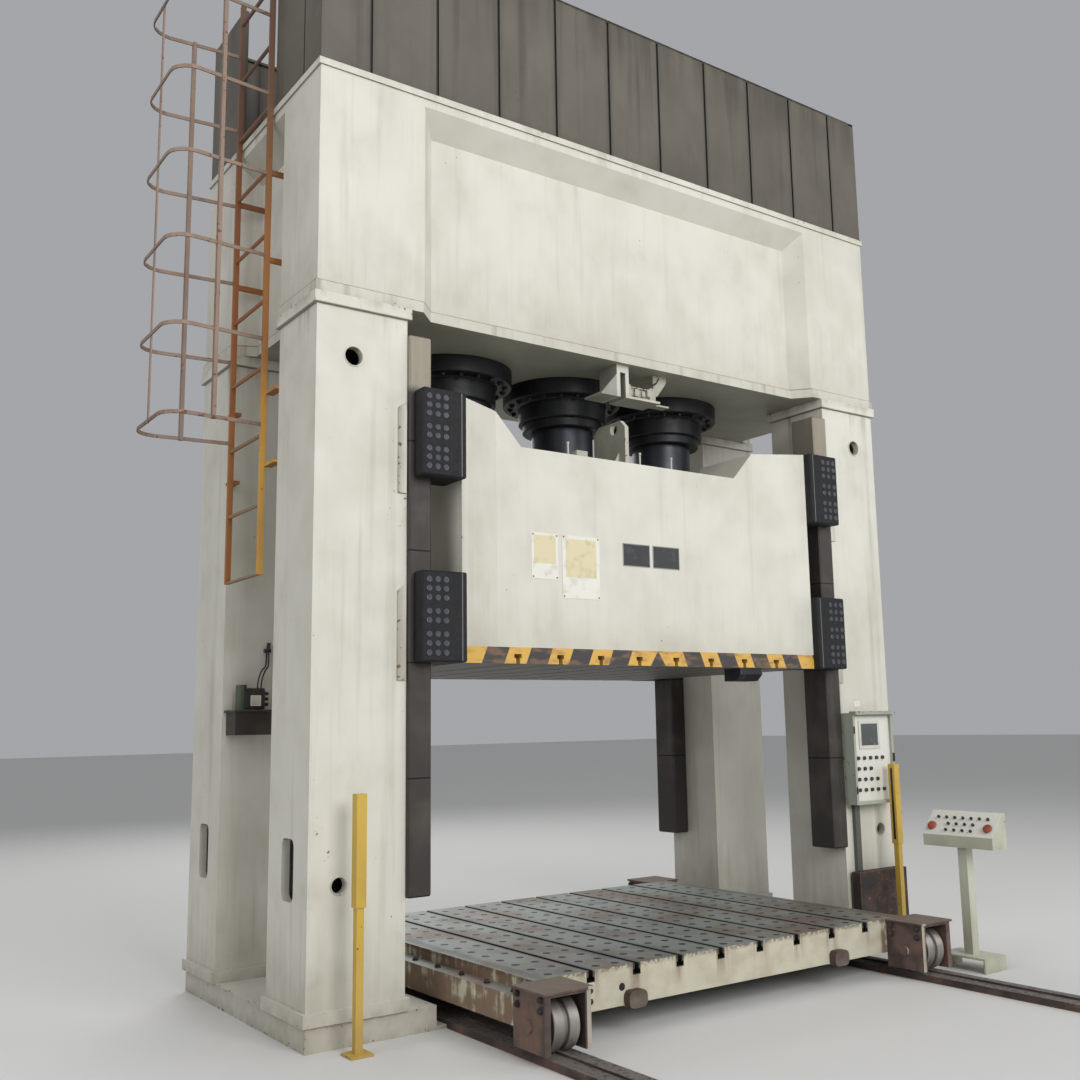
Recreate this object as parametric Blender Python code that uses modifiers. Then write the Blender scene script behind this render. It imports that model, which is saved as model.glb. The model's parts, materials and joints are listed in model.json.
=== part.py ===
"""Four-column hydraulic press with a rolling bolster, built at full size.

Metres, +Z up, +X to the right and -Y towards the operator. The origin is the
centre of the press on the floor. The slide and the bolster stand as they do
when the bolster is rolled part of the way out to the front.
"""

import math

import bmesh
import bpy
from mathutils import Matrix, Vector

MM = 0.001
TURN = 2 * math.pi
FLAT_ANGLE = math.radians(0.1)
SHARP_ANGLE = math.radians(50)

# Clearances
GAP = 0.3 * MM
OVERRUN = 30 * MM
RUNNING = 2 * MM
WHEEL_BORE_CLEARANCE = 0.6 * MM

# Frame
FRAME_DEPTH = 1.85
BED_HEIGHT = 0.125
COLUMN_WIDTH = 0.55
WINDOW_WIDTH = 0.80
COLUMN_WALL = 0.045
CROWN_HEIGHT = 1.38
FLANGE_THICKNESS = 0.065
FLANGE_PROUD = 0.02
CROWN_FLANGE_PROUD = 0.012
CROWN_TOP_PLATE = 0.04

# Recessed panels of the crown
PILASTER_WIDTH = 0.66
PANEL_DEPTH = 0.12
PANEL_SIDE_SLOPE = 0.11
PANEL_TOP_MARGIN = 0.09
PANEL_TOP_SLOPE = 0.13
END_PANEL_DEPTH = 0.15
END_PANEL_SLOPE = 0.06

# Openings in the columns
SIGHT_HOLE_RADIUS = 0.052
SIGHT_HOLE_DROP = 0.335
SIGHT_HOLE_SETOVER = 0.055
FOOT_HOLE_RADIUS = 0.04
FOOT_HOLE_HEIGHT = 0.79
FOOT_HOLE_SETOVER = 0.105
ACCESS_WIDTH = 0.16
ACCESS_HEIGHT = 0.32
ACCESS_CENTRE_HEIGHT = 0.86
ACCESS_CORNER = 0.04

# Tie rods
TIE_ROD_RADIUS = 0.08
TIE_ROD_CLEARANCE = 0.005
TIE_ROD_DEPTH_IN_BED = 0.09
TIE_NUT_RADIUS = 0.15
TIE_NUT_HEIGHT = 0.11
TIE_ROD_TIP = 0.05

# Sheet guard round the platform on the crown
GUARD_HEIGHT = 0.995
GUARD_THICKNESS = 0.03
GUARD_PANEL = 0.438
GUARD_END_PANEL = 0.247
GUARD_SEAM_WIDTH = 0.016
GUARD_SEAM_DEPTH = 0.012
GATE_MARGIN = 0.055

# Guide rails on the columns
RAIL_WIDTH = 0.14
RAIL_PROUD = 0.03
RAIL_DEPTH = 0.22
RAIL_FOOT = 0.69
RAIL_HEAD_DROP = 0.155
RAIL_CHAMFER = 0.008

# Slide
SLIDE_WIDTH = 2.84
SLIDE_BOTTOM = 1.93
SLIDE_PLATE = 0.095
SLIDE_HEIGHT = 1.337
SLIDE_END_RISE = 0.198
SLIDE_PANEL_DEPTH = 0.18
SLIDE_CREASE_X = 1.075
SLIDE_NOTCH_X = 0.894
SLIDE_UNION_LAP = 0.025
STROKE_UP = 0.27

# Guide shoes on the slide
SHOE_HEIGHT = 0.50
SHOE_THICKNESS = 0.1691
SHOE_CAP = 0.1047
SHOE_PROUD = 0.06
SHOE_LAP = 0.11
SHOE_LEG_DEPTH = 0.20
SHOE_CHAMFER = 0.008

# T-slots of the slide and the bolster
SLOT_COUNT = 8
SLOT_PITCH = 0.30
SLOT_NECK = 0.028
SLOT_NECK_DEPTH = 0.032
SLOT_HEAD = 0.05
SLOT_HEAD_DEPTH = 0.024

# Main cylinders and rams
CYLINDER_PITCH = 0.93
CYLINDER_RADIUS = 0.313
CYLINDER_DROP = 0.305
CYLINDER_LENGTH = 1.56
CYLINDER_FLANGE_RADIUS = 0.4235
CYLINDER_FLANGE_THICKNESS = 0.11
CYLINDER_GLAND_RADIUS = 0.285
CYLINDER_GLAND_HEIGHT = 0.06
CYLINDER_HEAD = 0.05
CYLINDER_SIDES = 32
RAM_RADIUS = 0.22
RAM_TOP_CLEARANCE = 0.02
RAM_FLANGE_RADIUS = 0.27
RAM_FLANGE_THICKNESS = 0.055
RAM_SEAT_DEPTH = 0.005
RAM_SEAT_CLEARANCE = 0.06

# Safety lock between crown and slide
LUG_X = -0.045
LUG_SETBACK = 0.02
LUG_DEPTH = 0.34
LUG_THICKNESS = 0.03
LUG_HEIGHT = 0.30
LUG_HOLE_SETBACK = 0.12
LUG_HOLE_RADIUS = 0.038
LUG_CHAMFER = 0.05
LUG_HOLE_RISE = 0.253
LOCK_CHEEK = 0.028
LOCK_GAP = 0.044
LOCK_CHEEK_DEPTH = 0.19
LOCK_ROOF = 0.05
LOCK_PIN_DROP = 0.155
LOCK_BASE = 0.015
LOCK_GUSSET_WIDTH = 0.13
LOCK_GUSSET_THICKNESS = 0.02
PIN_RADIUS = 0.032
PIN_TRAVEL = 0.12
PIN_LENGTH = 0.20
PIN_STANDOFF = 0.012
LOCK_BODY = 0.10
LOCK_BODY_LENGTH = 0.27
LOCK_BODY_WALL = 0.02
LOCK_BODY_HEAD = 0.055
LOCK_TUBE_WALL = 0.010
LOCK_TIE_RADIUS = 0.006
LOCK_TIE_INSET = 0.013

# Die clamp under the slide
CLAMP_X = 0.83
CLAMP_WIDTH = 0.20
CLAMP_DEPTH = 0.16
CLAMP_HEIGHT = 0.085
CLAMP_NOSE = 0.05
CLAMP_SETBACK = 0.02

# Rolling bolster
BOLSTER_SIDE_CLEARANCE = 0.23
BOLSTER_OVERHANG = 0.225
BOLSTER_BED_CLEARANCE = 0.017
BOLSTER_OUT = 0.49
LEDGE_WIDTH = 0.10
LEDGE_DROP = 0.06
HOOK_X = 0.78
HOOK_WIDTH = 0.12
HOOK_HEIGHT = 0.075
HOOK_DROP = 0.012
HOOK_PROUD = 0.05
HOOK_CORNER = 0.03

# Wheels, wheel boxes and floor rails
TRACK_INSET = 0.115
WHEEL_RADIUS = 0.13
WHEEL_WIDTH = 0.15
WHEEL_GROOVE = 0.03
WHEEL_GROOVE_DEPTH = 0.018
WHEEL_HUB_RADIUS = 0.055
WHEEL_HUB_PROUD = 0.012
WHEEL_RECESS_RADIUS = 0.10
WHEEL_RECESS_DEPTH = 0.015
WHEEL_SIDES = 24
AXLE_RADIUS = 0.03
BOX_WIDTH = 0.27
BOX_LENGTH = 0.27
BOX_CHEEK = 0.035
BOX_ROOF = 0.025
BOX_LID = 0.012
BOX_LID_PROUD = 0.012
BOX_HEADROOM = 0.0167
BOX_CLEARANCE = 0.02
RAIL_TOP = 0.04
FLOOR_RAIL_WIDTH = 0.20
FLOOR_RAIL_FRONT_RUN = 2.375
FLOOR_RAIL_REAR_RUN = 0.575
FLOOR_RAIL_RIDGE = 0.02
FLOOR_RAIL_RIDGE_HEIGHT = 0.012
BED_WEB = 0.02
TRACK_CLEARANCE = 0.01

# Ladder and its cage
LADDER_SIDE_ROOM = 0.15
LADDER_CENTRE_Y = 0.03
LADDER_FOOT = 2.46
LADDER_RISE = 0.975
STILE_DEPTH = 0.032
STILE_THICKNESS = 0.024
LADDER_STAY = 0.02
LADDER_BRACKET_RISE = 0.64
RUNG_RADIUS = 0.012
RUNG_PITCH = 0.412
CAGE_START = 0.88
CAGE_PITCH = 0.52
CAGE_HOOPS = 6
CAGE_REACH = 0.57
CAGE_FLARE = 0.04
CAGE_CORNER = 0.13
CAGE_BAR = 0.022
CAGE_BAR_THICKNESS = 0.008

# Lubrication unit on the rear left column
LUBE_SETOVER = 0.125
LUBE_TANK_WIDTH = 0.25
LUBE_TANK_HEIGHT = 0.15
LUBE_TANK_DEPTH = 0.16
LUBE_TANK_BOTTOM = 1.555
LUBE_PUMP_WIDTH = 0.20
LUBE_PUMP_HEIGHT = 0.13
LUBE_PUMP_DEPTH = 0.12
LUBE_LID = 0.015
LUBE_BARREL_RADIUS = 0.032
LUBE_BARREL_CAP = 0.02
LUBE_FITTING_RADIUS = 0.011
LUBE_FITTING_LENGTH = 0.028
LUBE_FITTING_COUNT = 3

# Light curtains
CURTAIN_SETOVER = 0.075
CURTAIN_CLEARANCE = 0.0197
CURTAIN_FOOT = 0.70
CURTAIN_HEAD = 1.255
CURTAIN_WIDTH = 0.055
CURTAIN_POST = 0.04
CURTAIN_SOLE = 0.12
CURTAIN_SOLE_THICKNESS = 0.012
CURTAIN_LENS_WIDTH = 0.02
CURTAIN_LENS_DEPTH = 0.004

# Control box on the right front column
PANEL_BOX_SETOVER = 0.04
PANEL_BOX_WIDTH = 0.43
PANEL_BOX_BOTTOM = 0.98
PANEL_BOX_THICKNESS = 0.11
PANEL_FRAME = 0.022
PANEL_SINK = 0.02
PANEL_HOOD = 0.03
PANEL_HOOD_THICKNESS = 0.012
SCREEN_SETOVER = 0.03
SCREEN_WIDTH = 0.22
SCREEN_HEIGHT = 0.195
SCREEN_THICKNESS = 0.008
SCREEN_DROP = 0.036
SCREEN_RISE = 0.065
BUTTON_RADIUS = 0.013
BUTTON_HEIGHT = 0.014
PANEL_ROW_COUNTS = (5, 4, 3, 5)
PANEL_BUTTON_PITCH = 0.065
PANEL_ROW_PITCH = 0.074
PANEL_ROW_BASE = 0.10
TRUNK_SETOVER = 0.125
TRUNK_WIDTH = 0.05
TRUNK_DEPTH = 0.03

# Junction block at the foot of the right front column
FOOT_BLOCK_WIDTH = 0.50
FOOT_BLOCK_HEIGHT = 0.52
FOOT_BLOCK_DEPTH = 0.075

# Two-hand console on its own stand
CONSOLE_SETOVER = 0.18
CONSOLE_STANDOFF = 0.915
CONSOLE_YAW = math.radians(-90)
CONSOLE_LENGTH = 0.52
CONSOLE_DEPTH = 0.15
CONSOLE_BOTTOM = 0.75
CONSOLE_LIP = 0.075
CONSOLE_BACK = 0.22
CONSOLE_TOP_DEPTH = 0.03
CONSOLE_POST = 0.065
CONSOLE_FOOT_LENGTH = 0.34
CONSOLE_FOOT_DEPTH = 0.22
CONSOLE_FOOT_HEIGHT = 0.09
CONSOLE_FOOT_WALL = 0.012
CONSOLE_ROW_COUNTS = (4, 4, 7)
CONSOLE_BUTTON_PITCH = 0.062
CONSOLE_ROW_PITCH = 0.048
CONSOLE_ROW_BASE = 0.035
SMALL_BUTTON_RADIUS = 0.010
PALM_HEAD_RADIUS = 0.030
PALM_HEAD_HEIGHT = 0.024
PALM_STEM_RADIUS = 0.010
PALM_STEM_LENGTH = 0.024
PALM_TRAVEL = 0.005
PALM_CLEARANCE = 0.001
PALM_MARGIN = 0.05
PALM_BACK = 0.06

# Worked out from the sizes above, from the slide outwards
SLIDE_CENTRE_TOP = SLIDE_BOTTOM + SLIDE_HEIGHT
SLIDE_END_TOP = SLIDE_CENTRE_TOP + SLIDE_END_RISE
RAM_SEAT = SLIDE_CENTRE_TOP - RAM_SEAT_DEPTH
LUG_HOLE_HEIGHT = SLIDE_CENTRE_TOP + LUG_HOLE_RISE
PIN_HEIGHT = LUG_HOLE_HEIGHT + STROKE_UP
CROWN_BOTTOM = PIN_HEIGHT + LOCK_PIN_DROP
CROWN_TOP = CROWN_BOTTOM + CROWN_HEIGHT
FRAME_WIDTH = SLIDE_WIDTH + 2 * (SHOE_THICKNESS + RAIL_WIDTH + COLUMN_WIDTH + 3 * GAP)
HALF_WIDTH = FRAME_WIDTH / 2
HALF_DEPTH = FRAME_DEPTH / 2
COLUMN_INNER = HALF_WIDTH - COLUMN_WIDTH
COLUMN_X = HALF_WIDTH - COLUMN_WIDTH / 2
WINDOW_HALF = WINDOW_WIDTH / 2
COLUMN_DEPTH = HALF_DEPTH - WINDOW_HALF
COLUMN_Y = HALF_DEPTH - COLUMN_DEPTH / 2
SIGHT_HOLE_HEIGHT = CROWN_BOTTOM - SIGHT_HOLE_DROP
SIGHT_HOLE_X = COLUMN_X + SIGHT_HOLE_SETOVER
FOOT_HOLE_X = COLUMN_X + FOOT_HOLE_SETOVER
TIE_HOLE_RADIUS = TIE_ROD_RADIUS + TIE_ROD_CLEARANCE
RAIL_HEAD = CROWN_BOTTOM - RAIL_HEAD_DROP
RAIL_FRONT = HALF_DEPTH + RAIL_PROUD
RAIL_INNER = COLUMN_INNER - GAP - RAIL_WIDTH
SLIDE_DEPTH = 2 * (RAIL_FRONT + GAP + SHOE_CAP - SHOE_PROUD)
SLIDE_HALF = SLIDE_WIDTH / 2
SLIDE_FACE = SLIDE_DEPTH / 2
SLOT_XS = [(i - (SLOT_COUNT - 1) / 2) * SLOT_PITCH for i in range(SLOT_COUNT)]
CYLINDER_XS = [-CYLINDER_PITCH, 0, CYLINDER_PITCH]
CYLINDER_BOTTOM = CROWN_BOTTOM - CYLINDER_DROP
RAM_TOP = CYLINDER_BOTTOM + CYLINDER_LENGTH - CYLINDER_HEAD - STROKE_UP - RAM_TOP_CLEARANCE
LUG_FRONT = SLIDE_PANEL_DEPTH - SLIDE_FACE + LUG_SETBACK
LUG_HOLE_Y = LUG_FRONT + LUG_HOLE_SETBACK
AXLE_HEIGHT = RAIL_TOP + WHEEL_RADIUS + GAP
AXLE_OFFSET = BOX_LENGTH / 2
BOLSTER_WIDTH = 2 * (COLUMN_INNER - BOLSTER_SIDE_CLEARANCE)
BOLSTER_DEPTH = FRAME_DEPTH + 2 * BOLSTER_OVERHANG
BOLSTER_FRONT = -BOLSTER_DEPTH / 2 - BOLSTER_OUT
BOLSTER_BACK = BOLSTER_FRONT + BOLSTER_DEPTH
BOLSTER_TOP = AXLE_HEIGHT + WHEEL_RADIUS + BOX_HEADROOM + BOX_ROOF
BOLSTER_THICKNESS = BOLSTER_TOP - BED_HEIGHT - BOLSTER_BED_CLEARANCE
BOLSTER_BOTTOM = BOLSTER_TOP - BOLSTER_THICKNESS
TRACK_X = BOLSTER_WIDTH / 2 - TRACK_INSET
FLOOR_RAIL_FRONT = -HALF_DEPTH - FLOOR_RAIL_FRONT_RUN
FLOOR_RAIL_BACK = HALF_DEPTH + FLOOR_RAIL_REAR_RUN
LADDER_BACK = HALF_WIDTH + CROWN_FLANGE_PROUD + GAP
LADDER_HEAD = CROWN_TOP + LADDER_RISE
LADDER_WIDTH = WINDOW_WIDTH - 2 * END_PANEL_SLOPE - LADDER_SIDE_ROOM
GATE_FRONT = LADDER_CENTRE_Y - LADDER_WIDTH / 2 - STILE_THICKNESS / 2
GATE_BACK = LADDER_CENTRE_Y + LADDER_WIDTH / 2 + GATE_MARGIN
CAGE_FOOT = LADDER_FOOT + CAGE_START
LUBE_X = -COLUMN_X - LUBE_SETOVER
FOOT_BLOCK_BACK = -HALF_DEPTH - FLANGE_PROUD - GAP
FOOT_BLOCK_FRONT = FOOT_BLOCK_BACK - FOOT_BLOCK_DEPTH
CURTAIN_X = COLUMN_X + CURTAIN_SETOVER
CURTAIN_Y = FOOT_BLOCK_FRONT - CURTAIN_CLEARANCE - CURTAIN_SOLE / 2
PANEL_BOX_X = COLUMN_X - PANEL_BOX_SETOVER
TRUNK_X = PANEL_BOX_X - TRUNK_SETOVER
PANEL_ROWS_HEIGHT = (len(PANEL_ROW_COUNTS) - 1) * PANEL_ROW_PITCH
SCREEN_FOOT = PANEL_BOX_BOTTOM + PANEL_ROW_BASE + PANEL_ROWS_HEIGHT + SCREEN_RISE
SCREEN_TOP = SCREEN_FOOT + SCREEN_HEIGHT
PANEL_BOX_HEIGHT = SCREEN_TOP + SCREEN_DROP + PANEL_FRAME - PANEL_BOX_BOTTOM
CONSOLE_X = COLUMN_X - CONSOLE_SETOVER
CONSOLE_Y = -HALF_DEPTH - CONSOLE_STANDOFF
CORNERS = [(side, end) for side in (-1, 1) for end in (-1, 1)]
SIDE_NAMES = {-1: "left", 1: "right"}
END_NAMES = {-1: "front", 1: "rear"}


def clear_scene():
    for obj in list(bpy.data.objects):
        bpy.data.objects.remove(obj, do_unlink=True)


def new_collection(name):
    collection = bpy.data.collections.new(name)
    bpy.context.scene.collection.children.link(collection)
    return collection


def paint(name, colour, roughness=0.5, metallic=0.0):
    """A plain Principled material."""
    material = bpy.data.materials.new(name)
    material.use_nodes = True
    shader = material.node_tree.nodes["Principled BSDF"]
    shader.inputs["Base Color"].default_value = (*colour, 1)
    shader.inputs["Roughness"].default_value = roughness
    shader.inputs["Metallic"].default_value = metallic
    material.diffuse_color = (*colour, 1)
    return material


clear_scene()
PARTS = new_collection("hydraulic_press")
HELPERS = new_collection("helpers")

CREAM = paint("cream_paint", (0.62, 0.60, 0.50), 0.45)
SHEET = paint("sheet_paint", (0.50, 0.48, 0.42), 0.5)
BLACK = paint("black_paint", (0.02, 0.02, 0.022), 0.3)
DARK_STEEL = paint("oiled_steel", (0.07, 0.065, 0.06), 0.4, 0.8)
STEEL = paint("ground_steel", (0.45, 0.46, 0.45), 0.35, 0.9)
CHROME = paint("ram_chrome", (0.7, 0.7, 0.7), 0.15, 1.0)
RUST = paint("rusty_casting", (0.14, 0.09, 0.07), 0.7, 0.3)
YELLOW = paint("safety_yellow", (0.80, 0.45, 0.05), 0.5)
GREY_GREEN = paint("grey_green_paint", (0.33, 0.38, 0.33), 0.5)
WHITE = paint("white_paint", (0.75, 0.73, 0.70), 0.5)
SCREEN = paint("dark_screen", (0.05, 0.07, 0.06), 0.15)
RED = paint("red_plastic", (0.55, 0.03, 0.02), 0.35)


def put(obj, material=None):
    """Links an object as a part, or as a hidden helper when it has no material."""
    if material is None:
        HELPERS.objects.link(obj)
        obj.hide_render = True
        obj.hide_set(True)
        obj.display_type = "WIRE"
    else:
        PARTS.objects.link(obj)
        obj.data.materials.clear()
        obj.data.materials.append(material)
    return obj


def from_bmesh(name, shape, material):
    mesh = bpy.data.meshes.new(name)
    shape.to_mesh(mesh)
    shape.free()
    return put(bpy.data.objects.new(name, mesh), material)


def smooth(obj):
    """Shades round faces smooth and keeps the edges between flat faces sharp."""
    obj.data.shade_smooth()
    obj.data.set_sharp_from_angle(angle=SHARP_ANGLE)
    return obj


def block(name, low, high, material=None):
    """A box between two corners."""
    low, high = Vector(low), Vector(high)
    shape = bmesh.new()
    bmesh.ops.create_cube(shape, size=1)
    size = high - low
    bmesh.ops.transform(shape, matrix=Matrix.Diagonal((*size, 1)), verts=shape.verts)
    bmesh.ops.translate(shape, vec=(low + high) / 2, verts=shape.verts)
    return from_bmesh(name, shape, material)


def bar(name, start, end, radius, sides=16, material=None, end_radius=None):
    """A cylinder or a cone from start to end."""
    start, end = Vector(start), Vector(end)
    along = end - start
    shape = bmesh.new()
    bmesh.ops.create_cone(
        shape,
        cap_ends=True,
        segments=sides,
        radius1=radius,
        radius2=radius if end_radius is None else end_radius,
        depth=along.length,
    )
    turn = Vector((0, 0, 1)).rotation_difference(along).to_matrix().to_4x4()
    bmesh.ops.transform(shape, matrix=turn, verts=shape.verts)
    bmesh.ops.translate(shape, vec=(start + end) / 2, verts=shape.verts)
    return smooth(from_bmesh(name, shape, material))


AXIS_FRAMES = {
    "X": Matrix(((0, 0, 1), (1, 0, 0), (0, 1, 0))),
    "Y": Matrix(((1, 0, 0), (0, 0, -1), (0, 1, 0))),
    "Z": Matrix.Identity(3),
}


def slab(name, outline, axis, low, high, material=None):
    """A flat outline drawn out along one axis.

    The outline holds (y, z) points for X, (x, z) for Y and (x, y) for Z.
    """
    curve = bpy.data.curves.new(name, "CURVE")
    curve.dimensions = "2D"
    curve.fill_mode = "BOTH"
    curve.extrude = (high - low) / 2
    spline = curve.splines.new("POLY")
    spline.points.add(len(outline) - 1)
    for point, (u, v) in zip(spline.points, outline):
        point.co = (u, v, 0, 1)
    spline.use_cyclic_u = True
    drawn = bpy.data.objects.new(name + "_outline", curve)
    PARTS.objects.link(drawn)
    bpy.context.view_layer.update()
    graph = bpy.context.evaluated_depsgraph_get()
    mesh = bpy.data.meshes.new_from_object(drawn.evaluated_get(graph))
    bpy.data.objects.remove(drawn, do_unlink=True)
    shape = bmesh.new()
    shape.from_mesh(mesh)
    bpy.data.meshes.remove(mesh)
    bmesh.ops.remove_doubles(shape, verts=shape.verts, dist=GAP / 10)
    bmesh.ops.dissolve_limit(
        shape, angle_limit=FLAT_ANGLE, verts=shape.verts, edges=shape.edges
    )
    bmesh.ops.recalc_face_normals(shape, faces=shape.faces)
    frame = AXIS_FRAMES[axis]
    middle = (low + high) / 2
    # The extrusion runs along -Y for outlines in X and Z.
    offset = frame @ Vector((0, 0, -middle if axis == "Y" else middle))
    bmesh.ops.transform(shape, matrix=frame.to_4x4(), verts=shape.verts)
    bmesh.ops.translate(shape, vec=offset, verts=shape.verts)
    return from_bmesh(name, shape, material)


def turned(name, profile, centre, axis, sides, material=None):
    """A profile of (radius, height) points, from top to bottom, turned round an axis."""
    mesh = bpy.data.meshes.new(name)
    points = [(radius, 0, height) for radius, height in profile]
    edges = [(i, i + 1) for i in range(len(points) - 1)]
    if profile[0][0]:
        edges.append((len(points) - 1, 0))
    mesh.from_pydata(points, edges, [])
    obj = put(bpy.data.objects.new(name, mesh), material)
    screw = obj.modifiers.new("turn", "SCREW")
    screw.axis = "Z"
    screw.steps = sides
    screw.render_steps = sides
    screw.use_merge_vertices = True
    screw.merge_threshold = GAP / 10
    bpy.context.view_layer.update()
    graph = bpy.context.evaluated_depsgraph_get()
    obj.data = bpy.data.meshes.new_from_object(obj.evaluated_get(graph))
    obj.modifiers.clear()
    bpy.data.meshes.remove(mesh)
    smooth(obj)
    obj.location = centre
    obj.rotation_euler = {
        "Z": (0, 0, 0),
        "X": (0, math.pi / 2, 0),
    }[axis]
    return obj


def boolean(obj, operation, others):
    for other in others:
        modifier = obj.modifiers.new(f"{operation.lower()}_{other.name}", "BOOLEAN")
        modifier.operation = operation
        modifier.object = other
    return obj


def cut(obj, *cutters):
    return boolean(obj, "DIFFERENCE", cutters)


def join(obj, *others):
    return boolean(obj, "UNION", others)


def soften(obj, width, segments=1):
    """Breaks the sharp edges before any Boolean."""
    bevel = obj.modifiers.new("edges", "BEVEL")
    bevel.width = width
    bevel.segments = segments
    bevel.limit_method = "ANGLE"
    return obj


def rectangle(low_u, low_v, high_u, high_v):
    return [(low_u, low_v), (high_u, low_v), (high_u, high_v), (low_u, high_v)]


def rounded(low_u, low_v, high_u, high_v, radius, steps=4):
    """A rectangle with round corners."""
    centres = [
        (high_u - radius, high_v - radius),
        (low_u + radius, high_v - radius),
        (low_u + radius, low_v + radius),
        (high_u - radius, low_v + radius),
    ]
    points = []
    for corner, (u, v) in enumerate(centres):
        for step in range(steps + 1):
            angle = (corner + step / steps) * TURN / 4
            points.append((u + radius * math.cos(angle), v + radius * math.sin(angle)))
    return points


def cut_slots(obj, face, inward, low, high):
    """Cuts T-slots along Y into a level face. inward is the way into the metal, 1 or -1."""
    neck, head = SLOT_NECK / 2, SLOT_HEAD / 2
    outside = face - inward * OVERRUN
    shoulder = face + inward * SLOT_NECK_DEPTH
    floor = shoulder + inward * SLOT_HEAD_DEPTH
    for index, x in enumerate(SLOT_XS):
        outline = [
            (x - neck, outside),
            (x - neck, shoulder),
            (x - head, shoulder),
            (x - head, floor),
            (x + head, floor),
            (x + head, shoulder),
            (x + neck, shoulder),
            (x + neck, outside),
        ]
        name = f"{obj.name}_slot_{index}"
        cut(obj, slab(name, outline, "Y", low - OVERRUN, high + OVERRUN))


def build_bed():
    track = BOX_WIDTH / 2 + WHEEL_HUB_PROUD + TRACK_CLEARANCE
    bed = block(
        "bed",
        (-HALF_WIDTH, -HALF_DEPTH, 0),
        (HALF_WIDTH, HALF_DEPTH, BED_HEIGHT),
        CREAM,
    )
    for side in (-1, 1):
        centre = side * TRACK_X
        cut(
            bed,
            block(
                f"bed_track_{SIDE_NAMES[side]}",
                (centre - track, -HALF_DEPTH - OVERRUN, BED_WEB),
                (centre + track, HALF_DEPTH + OVERRUN, BED_HEIGHT + OVERRUN),
            ),
        )
    for side, end in CORNERS:
        x, y = side * COLUMN_X, end * COLUMN_Y
        cut(
            bed,
            bar(
                f"bed_anchor_{SIDE_NAMES[side]}_{END_NAMES[end]}",
                (x, y, BED_HEIGHT - TIE_ROD_DEPTH_IN_BED),
                (x, y, BED_HEIGHT + OVERRUN),
                TIE_HOLE_RADIUS,
            ),
        )


def build_column(side, end):
    """A welded box column with flanged ends, sight holes and an access window."""
    tag = f"{SIDE_NAMES[side]}_{END_NAMES[end]}"
    x, y = side * COLUMN_X, end * COLUMN_Y
    half_x, half_y = COLUMN_WIDTH / 2, COLUMN_DEPTH / 2
    foot, head = BED_HEIGHT + GAP, CROWN_BOTTOM - GAP
    column = block(
        f"column_{tag}",
        (x - half_x, y - half_y, foot),
        (x + half_x, y + half_y, head),
        CREAM,
    )
    for name, low, high in (
        ("foot", foot, foot + FLANGE_THICKNESS),
        ("head", head - FLANGE_THICKNESS, head),
    ):
        join(
            column,
            block(
                f"column_flange_{name}_{tag}",
                (x - half_x - FLANGE_PROUD, y - half_y - FLANGE_PROUD, low),
                (x + half_x + FLANGE_PROUD, y + half_y + FLANGE_PROUD, high),
            ),
        )
    cavity_x, cavity_y = half_x - COLUMN_WALL, half_y - COLUMN_WALL
    cavity = block(
        f"column_cavity_{tag}",
        (x - cavity_x, y - cavity_y, foot + FLANGE_THICKNESS),
        (x + cavity_x, y + cavity_y, head - FLANGE_THICKNESS),
    )
    tie_hole = bar(
        f"column_tie_hole_{tag}",
        (x, y, foot - OVERRUN),
        (x, y, head + OVERRUN),
        TIE_HOLE_RADIUS,
    )
    face = end * HALF_DEPTH
    inside = face - end * (COLUMN_WALL + OVERRUN)
    outside = face + end * OVERRUN
    holes = [
        bar(
            f"column_{name}_hole_{tag}",
            (side * hole_x, inside, height),
            (side * hole_x, outside, height),
            radius,
            24,
        )
        for name, hole_x, height, radius in (
            ("sight", SIGHT_HOLE_X, SIGHT_HOLE_HEIGHT, SIGHT_HOLE_RADIUS),
            ("foot", FOOT_HOLE_X, FOOT_HOLE_HEIGHT, FOOT_HOLE_RADIUS),
        )
    ]
    low_x, high_x = sorted(
        (
            side * (HALF_WIDTH + OVERRUN),
            side * (HALF_WIDTH - COLUMN_WALL - OVERRUN),
        )
    )
    window = smooth(
        slab(
            f"column_window_{tag}",
            rounded(
                y - ACCESS_WIDTH / 2,
                ACCESS_CENTRE_HEIGHT - ACCESS_HEIGHT / 2,
                y + ACCESS_WIDTH / 2,
                ACCESS_CENTRE_HEIGHT + ACCESS_HEIGHT / 2,
                ACCESS_CORNER,
            ),
            "X",
            low_x,
            high_x,
        )
    )
    cut(column, cavity, tie_hole, window, *holes)


def tapered_cutter(name, low, high, along, taper_u, taper_top):
    """A box whose inner face is narrower and lower than its outer face.

    along is the outward direction, X or Y with its sign, of the wider face.
    """
    low, high = Vector(low), Vector(high)
    axis = 0 if abs(along[0]) else 1
    other = 1 - axis
    sign = along[axis]
    shape = bmesh.new()
    bmesh.ops.create_cube(shape, size=1)
    bmesh.ops.transform(shape, matrix=Matrix.Diagonal((*(high - low), 1)), verts=shape.verts)
    bmesh.ops.translate(shape, vec=(low + high) / 2, verts=shape.verts)
    middle = (low + high) / 2
    for vertex in shape.verts:
        if (vertex.co[axis] - middle[axis]) * sign > 0:
            continue
        vertex.co[other] -= math.copysign(taper_u, vertex.co[other] - middle[other])
        if vertex.co.z > middle.z:
            vertex.co.z -= taper_top
    return from_bmesh(name, shape, None)


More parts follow.
